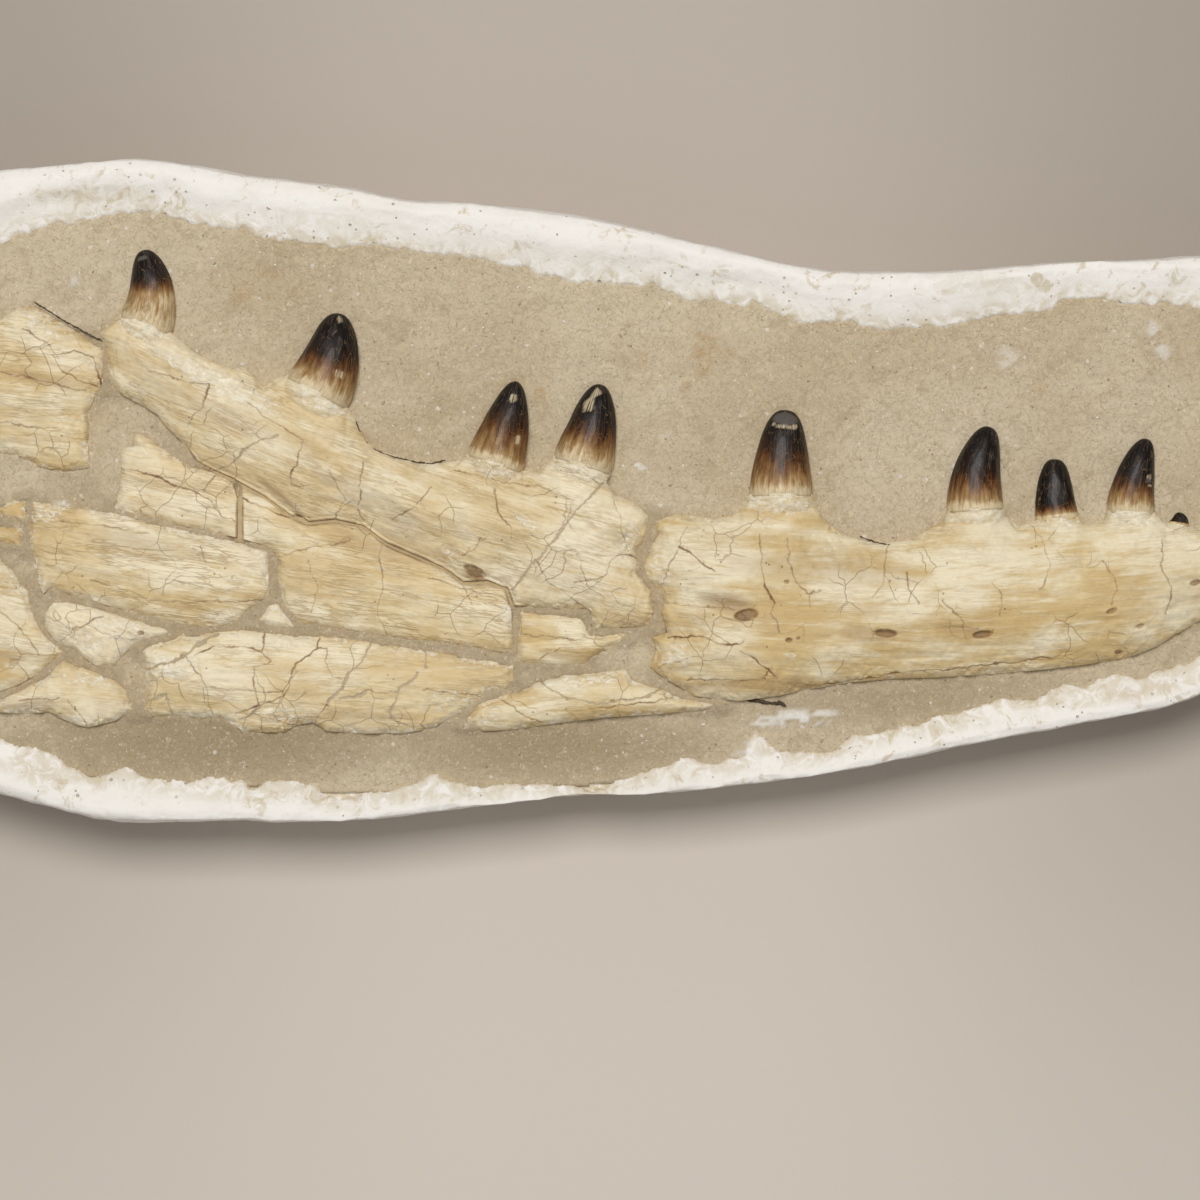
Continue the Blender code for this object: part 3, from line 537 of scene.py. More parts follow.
# The bones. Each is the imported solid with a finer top: worn and chipped edges, cracks, nerve openings
# and long low swells. Edge and rise are heights, reach is how far the rounding goes in, and flow is the
# line that the fibres follow. A patch is x, y, half length, half width, turn and strength or depth.
boneMesh = dict(topFrom=41.5, side=7.0, margin=0.93, top=1.03, cracked=0.47)        # longest edges in mm
plainBone = dict(bleached=0.0, warm=[], openings=[], grooves=[], chalk=[], dust=[], stainAndGrooveShade=[])
boneShapes = dict(
    dentary_front=dict(
        edge=46.5, rise=10.5, reach=26, chips=0.9, chalky=0.45, fibrous=0.42,
        flow=[(20, -44), (100, -51), (180, -47), (260, -37), (330, -30)],
        warm=[(80, -51, 52, 8, -3, 0.75), (160, -53, 60, 7, 4, 0.7), (220, -38, 30, 14, 15, 0.75),
              (45, -68, 28, 7, 0, 0.35), (95, -24, 22, 4, -4, 0.5), (60, -20, 24, 5, 0, 0.4)],
        openings=[(58, -50, 5.4, 2.6, 10, 1.9), (75, -60, 1.6, 1.1, 0, 1.2),
                  (113.5, -57.2, 5.0, 1.9, -4, 1.6), (152, -57.6, 4.6, 1.6, 8, 1.4),
                  (203, -48.4, 2.6, 1.2, 20, 1.1), (215, -54.4, 2.2, 1.1, 10, 1.0),
                  (207, -64.8, 2.0, 1.0, 0, 0.9), (236.5, -37.2, 2.6, 1.3, 15, 1.0),
                  (74, -36.8, 1.2, 0.9, 0, 0.8), (78.8, -59.2, 0.9, 0.7, 0, 0.7)],
        grooves=[(50, -46.5, 13, 3.4, -12, 1.5), (104, -55.5, 12, 2.2, -10, 0.7),
                 (141, -55.5, 14, 2.0, -8, 0.8), (196, -47, 9, 1.6, 10, 0.5)],
        chalk=[(73, -5, 17, 6, 0, 0.9), (151, -10, 14, 4.5, 3, 0.85), (183, -13.5, 11, 3.5, 5, 0.8),
               (212, -11, 13, 4.5, 0, 0.9), (24, -30, 5, 14, 12, 0.6), (75.5, -66, 3.5, 2, 0, 0.9),
               (30, -66, 8, 7, 0, 0.6)],
        stainAndGrooveShade=[(50, -45, 13, 5, -12, 0.55), (106, -58, 13, 3.2, -8, 0.4), (145, -57, 13, 3, -6, 0.4),
               (60, -78, 40, 4, 2, 0.3), (90, -32, 45, 7, -4, 0.22)],
    ),
    dentary_hind=dict(
        edge=46.5, rise=9, reach=24, chips=0.9, chalky=0.5, fibrous=0.72, bleached=0.3,
        flow=[(-205, 62), (-150, 40), (-90, 17), (-30, -2), (30, -16)],
        warm=[(-178, 47, 24, 8, -24, 0.7), (-120, 19, 40, 4, -30, 0.55), (-62, 2, 34, 5, -22, 0.5),
              (-30, -22, 28, 6, -20, 0.3)],
        openings=[(-119, -12.2, 4.4, 1.5, -38, 1.6), (-50, -32.8, 5.5, 2.6, -28, 1.5)],
        grooves=[(-128, -4, 13, 2.4, -40, 0.9), (-84, -8, 42, 4.2, -34, 1.3)],
        chalk=[(-152, 43, 33, 5, -27, 0.95), (-183, 64, 15, 6, -20, 0.9), (-112, 36, 16, 7, -28, 0.9),
               (-41, 9, 16, 5, -18, 0.8), (-6, 8, 15, 5, -17, 0.8), (-60, -26, 8, 2.5, -35, 0.5),
               (12, -20, 7, 8, 0, 0.5), (-30, -12, 8, 3, -30, 0.45)],
        dust=[(-70, -14, 60, 14, -30, 0.45)],
        stainAndGrooveShade=[(-88, -8, 42, 3.4, -34, 0.2), (-128, -2, 14, 2.4, -40, 0.4), (-50, -35, 7, 2.2, -28, 0.5),
               (-150, 30, 26, 4, -26, 0.22)],
    ),
    coronoid=dict(
        edge=46, rise=5, reach=22, chips=1.0, chalky=0.7, fibrous=0.8, bleached=0.15,
        flow=[(-330, 48), (-200, 36)],
        warm=[(-222, 44, 22, 6, -10, 0.6)],
        grooves=[(-215, 47, 14, 3, -12, 0.8)],
        chalk=[(-222, 66, 18, 5, -28, 0.6), (-200, 50, 10, 4, -30, 0.5)],
        stainAndGrooveShade=[(-222, 44, 20, 3, -10, 0.3)],
    ),
    surangular=dict(
        edge=45.5, rise=3, reach=16, chips=0.9, chalky=0.6, fibrous=0.7, bleached=0.42,
        flow=[(-200, 22), (-130, 8)],
        chalk=[(-165, 24, 18, 3, -24, 0.5)],
        stainAndGrooveShade=[(-170, 2, 20, 3, -10, 0.12)],
    ),
    angular=dict(
        edge=46, rise=4.5, reach=20, chips=0.7, chalky=0.8, fibrous=0.95, bleached=0.12,
        flow=[(-230, -5), (-130, -19)],
        chalk=[(-222, -8, 8, 6, -20, 0.9), (-134, -32, 2.5, 10, 0, 0.9), (-150, -50, 12, 3, 5, 0.5)],
        stainAndGrooveShade=[(-185, -22, 30, 6, -8, 0.2)],
    ),
    prearticular=dict(
        edge=45.8, rise=4, reach=18, chips=0.7, chalky=0.5, fibrous=0.9, bleached=0.15,
        flow=[(-135, -30), (-30, -47)],
        chalk=[(-37, -52, 4, 10, 0, 0.6), (-125, -55, 10, 3, 0, 0.5)],
        dust=[(-85, -38, 50, 16, -14, 0.6)],
        stainAndGrooveShade=[(-95, -22, 25, 4, -18, 0.25)],
    ),
    splenial_hind=dict(
        edge=46, rise=5, reach=18, chips=0.9, chalky=0.9, fibrous=0.6, bleached=0.2,
        flow=[(-185, -70), (-30, -78)],
        grooves=[(-171, -68, 8, 3, -10, 0.9)],
        chalk=[(-172, -71, 16, 6, 0, 0.9), (-126, -60, 14, 5, 0, 0.6), (-128, -90, 16, 4, 0, 0.6),
               (-60, -84, 16, 5, 8, 0.45)],
        stainAndGrooveShade=[(-100, -90, 24, 3, 0, 0.2)],
    ),
    splenial_front=dict(
        edge=45.5, rise=3.5, reach=9, chips=0.7, chalky=0.9, fibrous=0.5, flow=[(-55, -86), (50, -84)],
        openings=[(5, -84.5, 1.1, 0.8, 0, 0.7)],
        chalk=[(-5, -76, 22, 4, 8, 0.9), (-45, -90, 8, 4, 30, 0.7)],
    ),
    splenial_sliver=dict(
        edge=45, rise=2, reach=7, chips=0.6, chalky=0.5, fibrous=0.7, flow=[(-35, -60), (20, -64)],
        stainAndGrooveShade=[(-10, -66, 16, 3, -3, 0.35)],
    ),
    bone_chip=dict(
        edge=46, rise=1.5, reach=4, chips=0.4, chalky=1.0, fibrous=0.3, flow=[(-235, -10), (-225, -12)],
        chalk=[(-231, -9, 9, 9, 0, 1.0)],
    ),
    hind_fragment_1=dict(
        edge=45.5, rise=1.5, reach=5, chips=0.6, chalky=0.7, fibrous=0.6, flow=[(-250, -10), (-230, -14)],
    ),
    hind_fragment_2=dict(
        edge=45.8, rise=3, reach=12, chips=0.7, chalky=0.7, fibrous=0.7, flow=[(-280, 0), (-240, -8)],
    ),
    hind_fragment_3=dict(
        edge=45.8, rise=4, reach=18, chips=0.7, chalky=0.8, fibrous=0.6, flow=[(-280, -50), (-230, -58)],
        chalk=[(-236, -30, 9, 12, 0, 0.6)],
        stainAndGrooveShade=[(-240, -66, 14, 4, 0, 0.25)],
    ),
    hind_fragment_4=dict(
        edge=45.8, rise=3, reach=10, chips=0.7, chalky=0.9, fibrous=0.4, bleached=0.6,
        flow=[(-220, -50), (-180, -60)],
        openings=[(-183.5, -57.2, 1.5, 1.1, 0, 1.0)],
        chalk=[(-192, -54, 18, 7, -20, 0.8), (-206, -62, 12, 8, -40, 0.7)],
    ),
    hind_fragment_5=dict(
        edge=45.8, rise=3.5, reach=9, chips=0.9, chalky=0.9, fibrous=0.5, bleached=0.35,
        flow=[(-240, -80), (-190, -84)],
        chalk=[(-205, -76, 14, 4, -10, 0.6), (-212, -92, 16, 3, 0, 0.6)],
        stainAndGrooveShade=[(-230, -86, 14, 3, 0, 0.3)],
    ),
)
boneCracks = dict(        # width, depth, 0 dark or 1 filled with sand, and the points it runs through
    dentary_front=[
        (1.1, 0.9, 0, [(31, -22.5), (40.5, -29), (46, -33)]), (0.5, 0.3, 0, [(39, -30.5), (35, -32.5)]),
        (0.35, 0.2, 0, [(35, -15), (31, -23), (24.5, -38.5)]),
        (0.6, 0.5, 0, [(63, -17.5), (64.5, -27), (65, -37.5)]),
        (1.0, 0.8, 0, [(65, -37.5), (67, -41), (69, -45)]),
        (0.5, 0.4, 0, [(69, -45), (67.5, -49.5), (70, -53), (71, -57.5)]),
        (0.4, 0.3, 0, [(74.5, -19.5), (75, -28.5), (78, -37.5), (82.5, -41), (87, -41)]),
        (0.35, 0.2, 0, [(82.5, -41), (83.5, -47)]),
        (0.4, 0.3, 0, [(115, -22), (113, -34), (111.5, -38.5), (108, -42.5)]),
        (0.4, 0.3, 0, [(121.5, -32.5), (122.5, -39.5), (127, -45.5)]),
        (0.8, 0.8, 0, [(27, -59), (39, -59), (46, -60.5), (49.5, -61.5), (57.5, -61)]),
        (0.6, 0.4, 0, [(56, -64), (61.5, -67.5), (67.5, -71.5), (71, -75.5)]),
        (0.5, 0.3, 0, [(67.5, -71.5), (65, -75)]),
        (0.6, 0.5, 0, [(35, -76), (47.5, -76.5), (59, -75.5), (66, -75.5)]),
        (0.35, 0.2, 0, [(26, -45), (44.5, -47), (53, -47.5)]),
        (0.5, 0.4, 0, [(75, -77.5), (87.5, -78), (101.5, -75.5), (128, -72.5), (160, -69.5), (188, -66)]),
        (0.4, 0.3, 0, [(155.5, -36.5), (159, -41), (159, -50.5)]),
        (0.4, 0.25, 0, [(176, -20), (178.5, -30.5), (175, -40)]),
        (0.4, 0.25, 0, [(200, -28), (205, -38), (202.5, -45.5)]),
        (0.4, 0.25, 0, [(224, -20), (222.5, -30.5), (227, -40), (225.5, -49)]),
        (0.4, 0.25, 0, [(246, -22), (249, -32), (245, -42)]),
        (0.35, 0.2, 0, [(136, -44), (143, -51), (145, -60)]),
    ],
    dentary_hind=[
        (0.5, 0.3, 0, [(-155, 41.5), (-157.5, 33.5), (-161.5, 29), (-164, 25.5)]),
        (0.7, 0.5, 1, [(-128.5, 21.5), (-139, 17.5), (-147.5, 9.5), (-154.5, 7)]),
        (0.6, 0.4, 0, [(-117.5, 19), (-119.5, 13), (-122.5, 7), (-122.5, 1.5), (-117, 1)]),
        (0.5, 0.35, 0, [(-94.5, 11), (-96, -9.5), (-94.5, -13)]),
        (0.5, 0.35, 0, [(-67, 1), (-75.5, -8), (-83, -12)]),
        (0.7, 0.5, 1, [(1, 2.5), (-7.5, -6.5), (-16, -17), (-25.5, -29), (-33.5, -37.5), (-39, -44)]),
        (0.5, 0.3, 0, [(-42, 0), (-40.5, -9.5), (-35.5, -15), (-35, -20.5)]),
        (0.5, 0.3, 0, [(-47.5, -19.5), (-50, -24.5), (-54.5, -26)]),
        (0.6, 0.45, 0, [(16, -27), (8, -26), (3.5, -29), (3, -33), (-1, -36), (-10, -37)]),
        (0.5, 0.4, 0, [(-25.5, -29), (-21, -36), (-10, -44), (-4, -49)]),
        (0.4, 0.3, 0, [(-140, 34), (-124, 23), (-117.5, 19)]),
        (0.35, 0.25, 0, [(-180, 47), (-164, 42.5), (-155, 41.5)]),
        (0.4, 0.3, 0, [(-16, 8), (-4, 5), (0, 1.5)]),
        (0.4, 0.3, 0, [(-58, 8), (-40, 3), (-24, 1.5), (-10, -4)]),
        (0.35, 0.2, 0, [(-108, 8), (-102, -4), (-106, -11.5)]),
        (0.35, 0.25, 0, [(6, -4), (9, -16), (12, -25)]),
    ],
    surangular=[
        (0.7, 0.5, 0, [(-192, 9), (-177.5, 5), (-161.5, -0.5), (-154.5, -5)]),
        (0.5, 0.3, 0, [(-154.5, 5.5), (-157.5, 1.5), (-158.5, -1)]),
        (0.5, 0.3, 0, [(-154.5, -5), (-151, -10), (-145, -13.5)]),
    ],
    angular=[
        (0.35, 0.2, 0, [(-216, -12), (-196, -15), (-180, -18)]),
        (0.4, 0.25, 0, [(-180, -44), (-164, -45), (-135, -44)]),
        (0.35, 0.2, 0, [(-160, -22), (-157.5, -29)]),
        (0.35, 0.2, 0, [(-204, -36), (-188, -40), (-180, -44)]),
    ],
    prearticular=[
        (0.7, 0.5, 0, [(-144, -3), (-137.5, -5.5), (-129.5, -9), (-124.5, -11), (-120, -13)]),
        (0.4, 0.25, 0, [(-54.5, -38.5), (-51, -46.5)]),
        (0.35, 0.2, 0, [(-116, -28), (-113, -40), (-115, -49)]),
        (0.4, 0.25, 0, [(-68, -35), (-52, -40), (-40, -44)]),
        (0.35, 0.2, 0, [(-88, -28), (-86.5, -40), (-89, -49.5), (-85.5, -57.5)]),
        (0.35, 0.2, 0, [(-129, -26.5), (-116, -23), (-99, -20)]),
    ],
    splenial_hind=[
        (0.7, 0.6, 0, [(-134, -56.5), (-135, -64.5), (-142, -63), (-154.5, -63), (-161.5, -66)]),
        (0.6, 0.5, 0, [(-135, -64.5), (-131, -68.5), (-137, -70.5), (-138, -77.5), (-137, -83.5),
                      (-135.5, -86.5)]),
        (0.6, 0.5, 0, [(-112.5, -57.5), (-112.5, -62.5), (-117.5, -66.5), (-121.5, -69.5),
                      (-123, -73.5), (-124.5, -79.5), (-127, -83), (-135, -86), (-145.5, -89)]),
        (0.6, 0.5, 1, [(-127, -83), (-130, -89), (-129, -92), (-121, -94.5)]),
        (0.45, 0.35, 0, [(-112.5, -62.5), (-108.5, -63), (-109, -68.5), (-107, -75), (-103, -75.5)]),
        (0.8, 0.6, 1, [(-90.5, -60), (-95, -68.5), (-100.5, -73.5)]),
        (1.4, 0.8, 1, [(-100.5, -73.5), (-103, -79), (-108.5, -85)]),
        (0.6, 0.5, 0, [(-108.5, -85), (-111.5, -89), (-114, -93.5)]),
        (1.2, 0.8, 1, [(-71, -63), (-69, -70.5)]),
        (0.8, 0.6, 1, [(-72, -73), (-75.5, -75.5), (-80.5, -79), (-80, -81.5), (-83.5, -89),
                      (-83, -91.5), (-77, -94.5)]),
        (0.6, 0.5, 0, [(-165, -66.5), (-161, -72.5), (-157, -79), (-156.5, -83.5), (-154.5, -89.5)]),
        (0.4, 0.3, 0, [(-155, -79), (-145, -79.5), (-127, -81)]),
        (2.0, 1.0, 1, [(-166, -66.5), (-160, -61.5), (-153, -57.5)]),
        (1.6, 0.9, 1, [(-104, -83), (-99, -83), (-93.5, -81)]),
        (0.5, 0.4, 0, [(-93.5, -80.5), (-81, -80.5)]),
        (0.4, 0.3, 0, [(-47, -83), (-60, -80.5), (-71, -79.5)]),
        (1.0, 0.8, 1, [(-182, -71.5), (-174, -69.5), (-166, -66.5)]),
        (0.8, 0.6, 1, [(-180, -84), (-173, -81.5), (-171, -89.5)]),
        (0.8, 0.5, 1, [(-144, -92), (-135, -87)]),
    ],
    splenial_front=[
        (0.7, 0.5, 1, [(-25, -76.5), (-17.5, -81.5), (-4, -85.5), (16, -83.5), (25, -80)]),
        (0.5, 0.35, 0, [(-4, -87), (16, -85.5), (29, -83)]),
        (0.4, 0.25, 0, [(-40, -84), (-32, -89), (-24, -93)]),
    ],
    coronoid=[
        (0.5, 0.4, 0, [(-240, 47), (-224, 44), (-205, 39)]),
        (0.7, 0.5, 0, [(-218, 53.5), (-210, 55), (-203, 53), (-199, 42.5)]),
        (0.4, 0.3, 0, [(-218, 53.5), (-216, 49), (-209, 44), (-200, 41.5)]),
        (0.4, 0.25, 0, [(-248, 28), (-232, 26), (-216, 24)]),
        (0.4, 0.3, 0, [(-230, 64), (-220, 58), (-216, 52)]),
    ],
    splenial_sliver=[
        (0.4, 0.3, 0, [(-33, -57), (-22, -58.5), (-8, -60)]), (0.4, 0.3, 0, [(-24, -68), (-16, -63)]),
    ],
    hind_fragment_3=[
        (0.5, 0.4, 0, [(-240, -48), (-231, -55), (-224, -66)]),
        (0.4, 0.3, 0, [(-264, -28), (-261, -44), (-268, -60), (-264, -78.5)]),
    ],
    hind_fragment_4=[
        (0.35, 0.2, 0, [(-216, -60), (-208, -55), (-198.5, -50.5)]),
    ],
    hind_fragment_5=[
        (0.4, 0.3, 0, [(-212, -84), (-208, -89), (-205.5, -94.5)]),
        (0.4, 0.3, 0, [(-232, -84), (-216, -83)]),
    ],
    hind_fragment_2=[
        (0.4, 0.3, 0, [(-264, 1.5), (-261, -8), (-265.5, -18.5)]),
    ],
)
crackTones = (0.95, 0.14)        # how dark an open crack and a filled one are
pedestalDepth = 17.0        # how far the bony base of a tooth runs into the jaw


def baseOf(tooth):        # middle of the bone's edge under the crown, along it, out of the jaw, half width
    left, right = Vector(tooth["left"]), Vector(tooth["right"])
    along = (right - left).normalized()
    return (left + right) / 2, along, Vector((-along.y, along.x)), (right - left).length / 2


def pedestalTop(x, y, edge, tooth):        # height of the base, and how strongly it is there
    middle, along, outward, half = baseOf(tooth)
    sideways = (x - middle.x) * along.x + (y - middle.y) * along.y
    depth = np.maximum(0, -((x - middle.x) * outward.x + (y - middle.y) * outward.y))
    wide = half * (1 + 0.5 * depth / 15)
    section = np.sqrt(np.maximum(0, 1 - (sideways / wide) ** 2))
    fade = np.maximum(0, 1 - (depth / pedestalDepth) ** 2)
    ahead = (x - middle.x) * outward.x + (y - middle.y) * outward.y < 1.5
    top = matrixTop + 0.2 * half + 0.86 * half
    rise = (top - edge) * section * fade * ahead
    return edge - 5 + 5 * section * fade**0.2 + rise, rise


def eased(share):
    return 1 - (1 - np.clip(share, 0, 1)) ** 2


def makeBone(name, plan):
    bm = copyOfNode(name)
    outline = boneOutlines[name]
    cracks = [(width, deep, tone, linesOf(points)) for width, deep, tone, points in boneCracks.get(name, [])]
    crackLines = [line for crack in cracks for line in crack[3]]
    corners = np.array(outline).reshape(-1, 2)
    box = corners.min(0), corners.max(0)
    floor = min(vert.co.z for vert in bm.verts) / mm
    carried = [tooth for tooth in teeth.values()
               if distanceTo(np.array([tooth["left"][0]]), np.array([tooth["left"][1]]), outline)[0] < 0.1]

    def spacing(x, y):
        finest = np.where(distanceTo(x, y, outline) < 3, boneMesh["margin"], boneMesh["top"])
        if crackLines:
            finest = np.where(distanceTo(x, y, crackLines) < 1.25, boneMesh["cracked"], finest)
        for opening in plan["openings"]:
            finest = np.where(spotOf(x, y, opening, 1.2) > 0, boneMesh["cracked"], finest)
        return finest

    fineness = lookUp(box, 0.7, spacing)
    refine(bm, lambda x, y, z: np.where(z < boneMesh["topFrom"], boneMesh["side"], fineness(x, y)), 9)
    x, y, z = cornersOf(bm).T
    depth = distanceTo(x, y, outline)
    wall = (depth < 0.01) & (z < plan["edge"] - 0.01)
    under = z < floor + 0.01
    seam = np.zeros(len(x))        # 1 on the line where this bone joins its neighbour
    if seamLines[name]:
        seam = np.exp(-(distanceTo(x, y, seamLines[name]) / 5) ** 2)

    # how far the broken margin steps in, and the crowned top behind it
    ragged = np.clip(roughNoise(x / 6, y / 6, seed=3) * 0.9 + 0.3, 0, 1.6)
    ragged += 0.4 * roughNoise(x / 1.7, y / 1.7, seed=5)
    chip = plan["chips"] * np.clip(ragged, 0, 1.8) * (1 - seam)
    lifted = np.zeros(len(x))
    base = np.full(len(x), -1.0)
    for tooth in carried:
        top, rise = pedestalTop(x, y, plan["edge"], tooth)
        lifted = np.maximum(lifted, rise)
        base = np.maximum(base, np.where(rise > 0, top, -1.0))
    chip = chip * np.clip(1 - lifted / 2.5, 0, 1)
    inner = depth - chip
    height = plan["edge"] + 1.6 * eased(inner / 2.6) + plan["rise"] * eased(inner / plan["reach"])
    height = np.where(inner < 0, plan["edge"] + 2.6 * inner, height)
    height += seam * np.maximum(0, seamHeight - height)
    gap = (base - height) / 2.2
    soft = height + 2.2 * np.where(gap > 20, gap, np.log1p(np.exp(np.clip(gap, -30, 20))))
    height = np.where(lifted > 0, np.minimum(soft, np.maximum(base, height) + 0.5), height)

    # long low swells along the fibres, then finer ones
    curve = np.polyfit(*np.array(plan["flow"], float).T, min(2, len(plan["flow"]) - 1))
    slope = np.polyval(np.polyder(curve), x)
    v = (y - np.polyval(curve, x)) / np.sqrt(1 + slope**2)
    u = x * np.sqrt(1 + slope**2)
    away = smoothStep(inner, 0.0, 4.0)
    height += away * (0.35 * roughNoise(u / 34, v / 8, seed=7) + 0.2 * roughNoise(u / 15, v / 1.9, seed=8))
    height += 0.2 * roughNoise(x / 3.1, y / 3.1, octaves=3, seed=9) * smoothStep(inner, -0.5, 0.5)
    # the grooves are real dips; the stain patches laid over them also paint shade in them
    for groove in plan["grooves"]:
        height -= groove[-1] * spotOf(x, y, groove) ** 1.3
    pitShade, silted = np.zeros(len(x)), np.zeros(len(x))
    wobble = 0.16 * roughNoise(x / 1.6, y / 1.6, seed=26)
    # painted shade: each nerve opening is darkened inside with the crack colour, on top of its real dip
    for opening in plan["openings"]:
        deep = opening[-1]
        pit = spotOf(x, y, opening)
        height -= 1.4 * deep * smoothStep(pit, 0.0, 0.7)
        core = smoothStep(pit + 2 * wobble, 0.45, 0.9)
        shadow = smoothStep(pit + wobble, 0.05, 0.75) * (0.95 + 1.5 * wobble)
        pitShade = np.maximum(pitShade, shadow * min(0.95, 0.4 + 0.4 * deep))
        silted = np.maximum(silted, 0.22 * core * (1 + 4 * wobble))

    crackMark, fillMark, nearCrack = np.zeros(len(x)), np.zeros(len(x)), np.zeros(len(x))
    warpX = x + 0.6 * roughNoise(x / 4.2, y / 4.2, seed=21) + 0.25 * smoothNoise(x / 1.1, y / 1.1, seed=22)
    warpY = y + 0.6 * roughNoise(x / 4.2, y / 4.2, seed=23) + 0.25 * smoothNoise(x / 1.1, y / 1.1, seed=24)
    varied = 0.7 + 0.6 * smoothNoise(x / 5, y / 5, seed=25)
    for width, deep, tone, lines in cracks:
        off = distanceTo(warpX, warpY, lines)
        reach = np.maximum(width * varied, 0.2)
        cut = 1 - smoothStep(off, 0.12 * reach, 0.5 * reach + 0.24)
        height -= 0.75 * deep * cut * np.clip(varied, 0.4, 1.2)
        dark = crackTones[tone] * np.clip(0.4 + width * varied, 0.3, 1.1)
        crackMark = np.maximum(crackMark, cut * dark)
        if tone == 1:
            fillMark = np.maximum(fillMark, 1 - smoothStep(off, 0.4 * reach, 0.5 * reach + 0.35))
        nearCrack = np.maximum(nearCrack, (1 - smoothStep(off, 0.4, 0.9 + width)) * min(1, 0.4 + width))

    flaked = nearSoft(x, y, plan["chalk"]) ** 0.5
    flakes = 0.75 * roughNoise(x / 2.4, y / 2.4, octaves=4, seed=33)
    flakes += 0.3 * roughNoise(u / 5, v / 1.3, seed=34)
    height += flaked * away * flakes
    if seamLines[name]:        # a thin brown line where two bones meet
        joint = 1 - smoothStep(distanceTo(x, y, seamLines[name]), 0.3, 1.0)
        strength = np.clip(0.45 + 0.5 * roughNoise(x / 8, y / 8, seed=36), 0.1, 0.8)
        crackMark = np.maximum(crackMark, joint * strength)
    rim = np.where(lifted > 0, np.maximum(base, plan["edge"]), plan["edge"])
    newZ = np.where(wall, floor + (z - floor) * (height - floor) / np.maximum(rim - floor, 1), height)
    newZ = np.where(under, z, newZ)
    edgeMark = plan["chalky"] * (1 - smoothStep(inner, 0.2, 3.4)) * (1 - 0.8 * seam)
    edgeMark = edgeMark * smoothStep(roughNoise(x / 7, y / 7, seed=31), -0.35, 0.35)
    chalkMark = np.maximum(edgeMark, 0.8 * nearSoft(x, y, plan["chalk"]) ** 0.5)
    patchy = smoothStep(roughNoise(x / 6, y / 6, seed=35), -0.1, 0.5)
    chalkMark = np.maximum(chalkMark, nearCrack * 0.3 * patchy)
    # the crack mark holds the real cracks and the painted shade in the nerve openings
    marks = dict(
        grain=np.stack([u, v, np.zeros(len(x))], 1), crack=np.maximum(np.clip(crackMark, 0, 1), pitShade),
        fill=np.maximum(fillMark, silted), chalk=np.clip(chalkMark, 0, 1),
        # stain mark: real stains, plus painted shade where its patches lie along the grooves
        stainAndGrooveShade=nearSoft(x, y, plan["stainAndGrooveShade"]) ** 0.7, fibrous=np.full(len(x), plan["fibrous"]),
        warm=nearSoft(x, y, plan["warm"]) ** 0.6, bleached=np.full(len(x), plan["bleached"]),
        dust=0.25 + 0.7 * nearSoft(x, y, plan["dust"]) ** 0.5,
    )
    finishPiece(name + "_bone", bm, np.stack([x, y, newZ], 1), name, finishes["bone"], marks)


def outlineOf(node):
    bm = copyOfNode(node)
    lines = undersideEdge(bm)
    bm.free()
    return lines


seamHeight = 48.4        # bones that join meet at this height
joinedBones = [
    ("dentary_hind", "prearticular"), ("dentary_hind", "surangular"), ("surangular", "prearticular"),
]
boneOutlines = {name: outlineOf(name) for name in boneShapes}
seamLines = {name: [] for name in boneShapes}
for pair in joinedBones:
    for name, other in (pair, pair[::-1]):
        middles = np.array([((ax + bx) / 2, (ay + by) / 2) for (ax, ay), (bx, by) in boneOutlines[name]])
        close = distanceTo(middles[:, 0], middles[:, 1], boneOutlines[other]) < 2.0
        seamLines[name] += [line for line, near in zip(boneOutlines[name], close) if near]
for boneName, boneShape in boneShapes.items():
    makeBone(boneName, plainBone | boneShape)
print("bones shaped")


# Tooth crowns: a tube bent to its point, with keels at its sides and fine lengthwise ridges
crownPlan = dict(sides=56, rings=46, intoBone=1.6, keel=0.035, ridges=0.014)
crownChips = dict(        # round the crown in degrees, share of its length, half sizes in degrees and share
    tooth_02=[(72, 0.93, 13, 0.04), (60, 0.30, 12, 0.05)],
    tooth_03=[(86, 0.80, 14, 0.05), (50, 0.34, 10, 0.06)],
    tooth_04=[(118, 0.74, 22, 0.10), (100, 0.90, 22, 0.05), (112, 0.84, 12, 0.08)],
    tooth_05=[(95, 0.80, 36, 0.02), (60, 0.82, 10, 0.03), (130, 0.82, 10, 0.03)],
    tooth_08=[(52, 0.52, 11, 0.05), (48, 0.40, 9, 0.02)],
)
crownWear = dict(tooth_05=(95, 0.9, 60, 0.075), tooth_01=(100, 0.9, 30, 0.03), tooth_08=(52, 0.47, 9, 0.045))


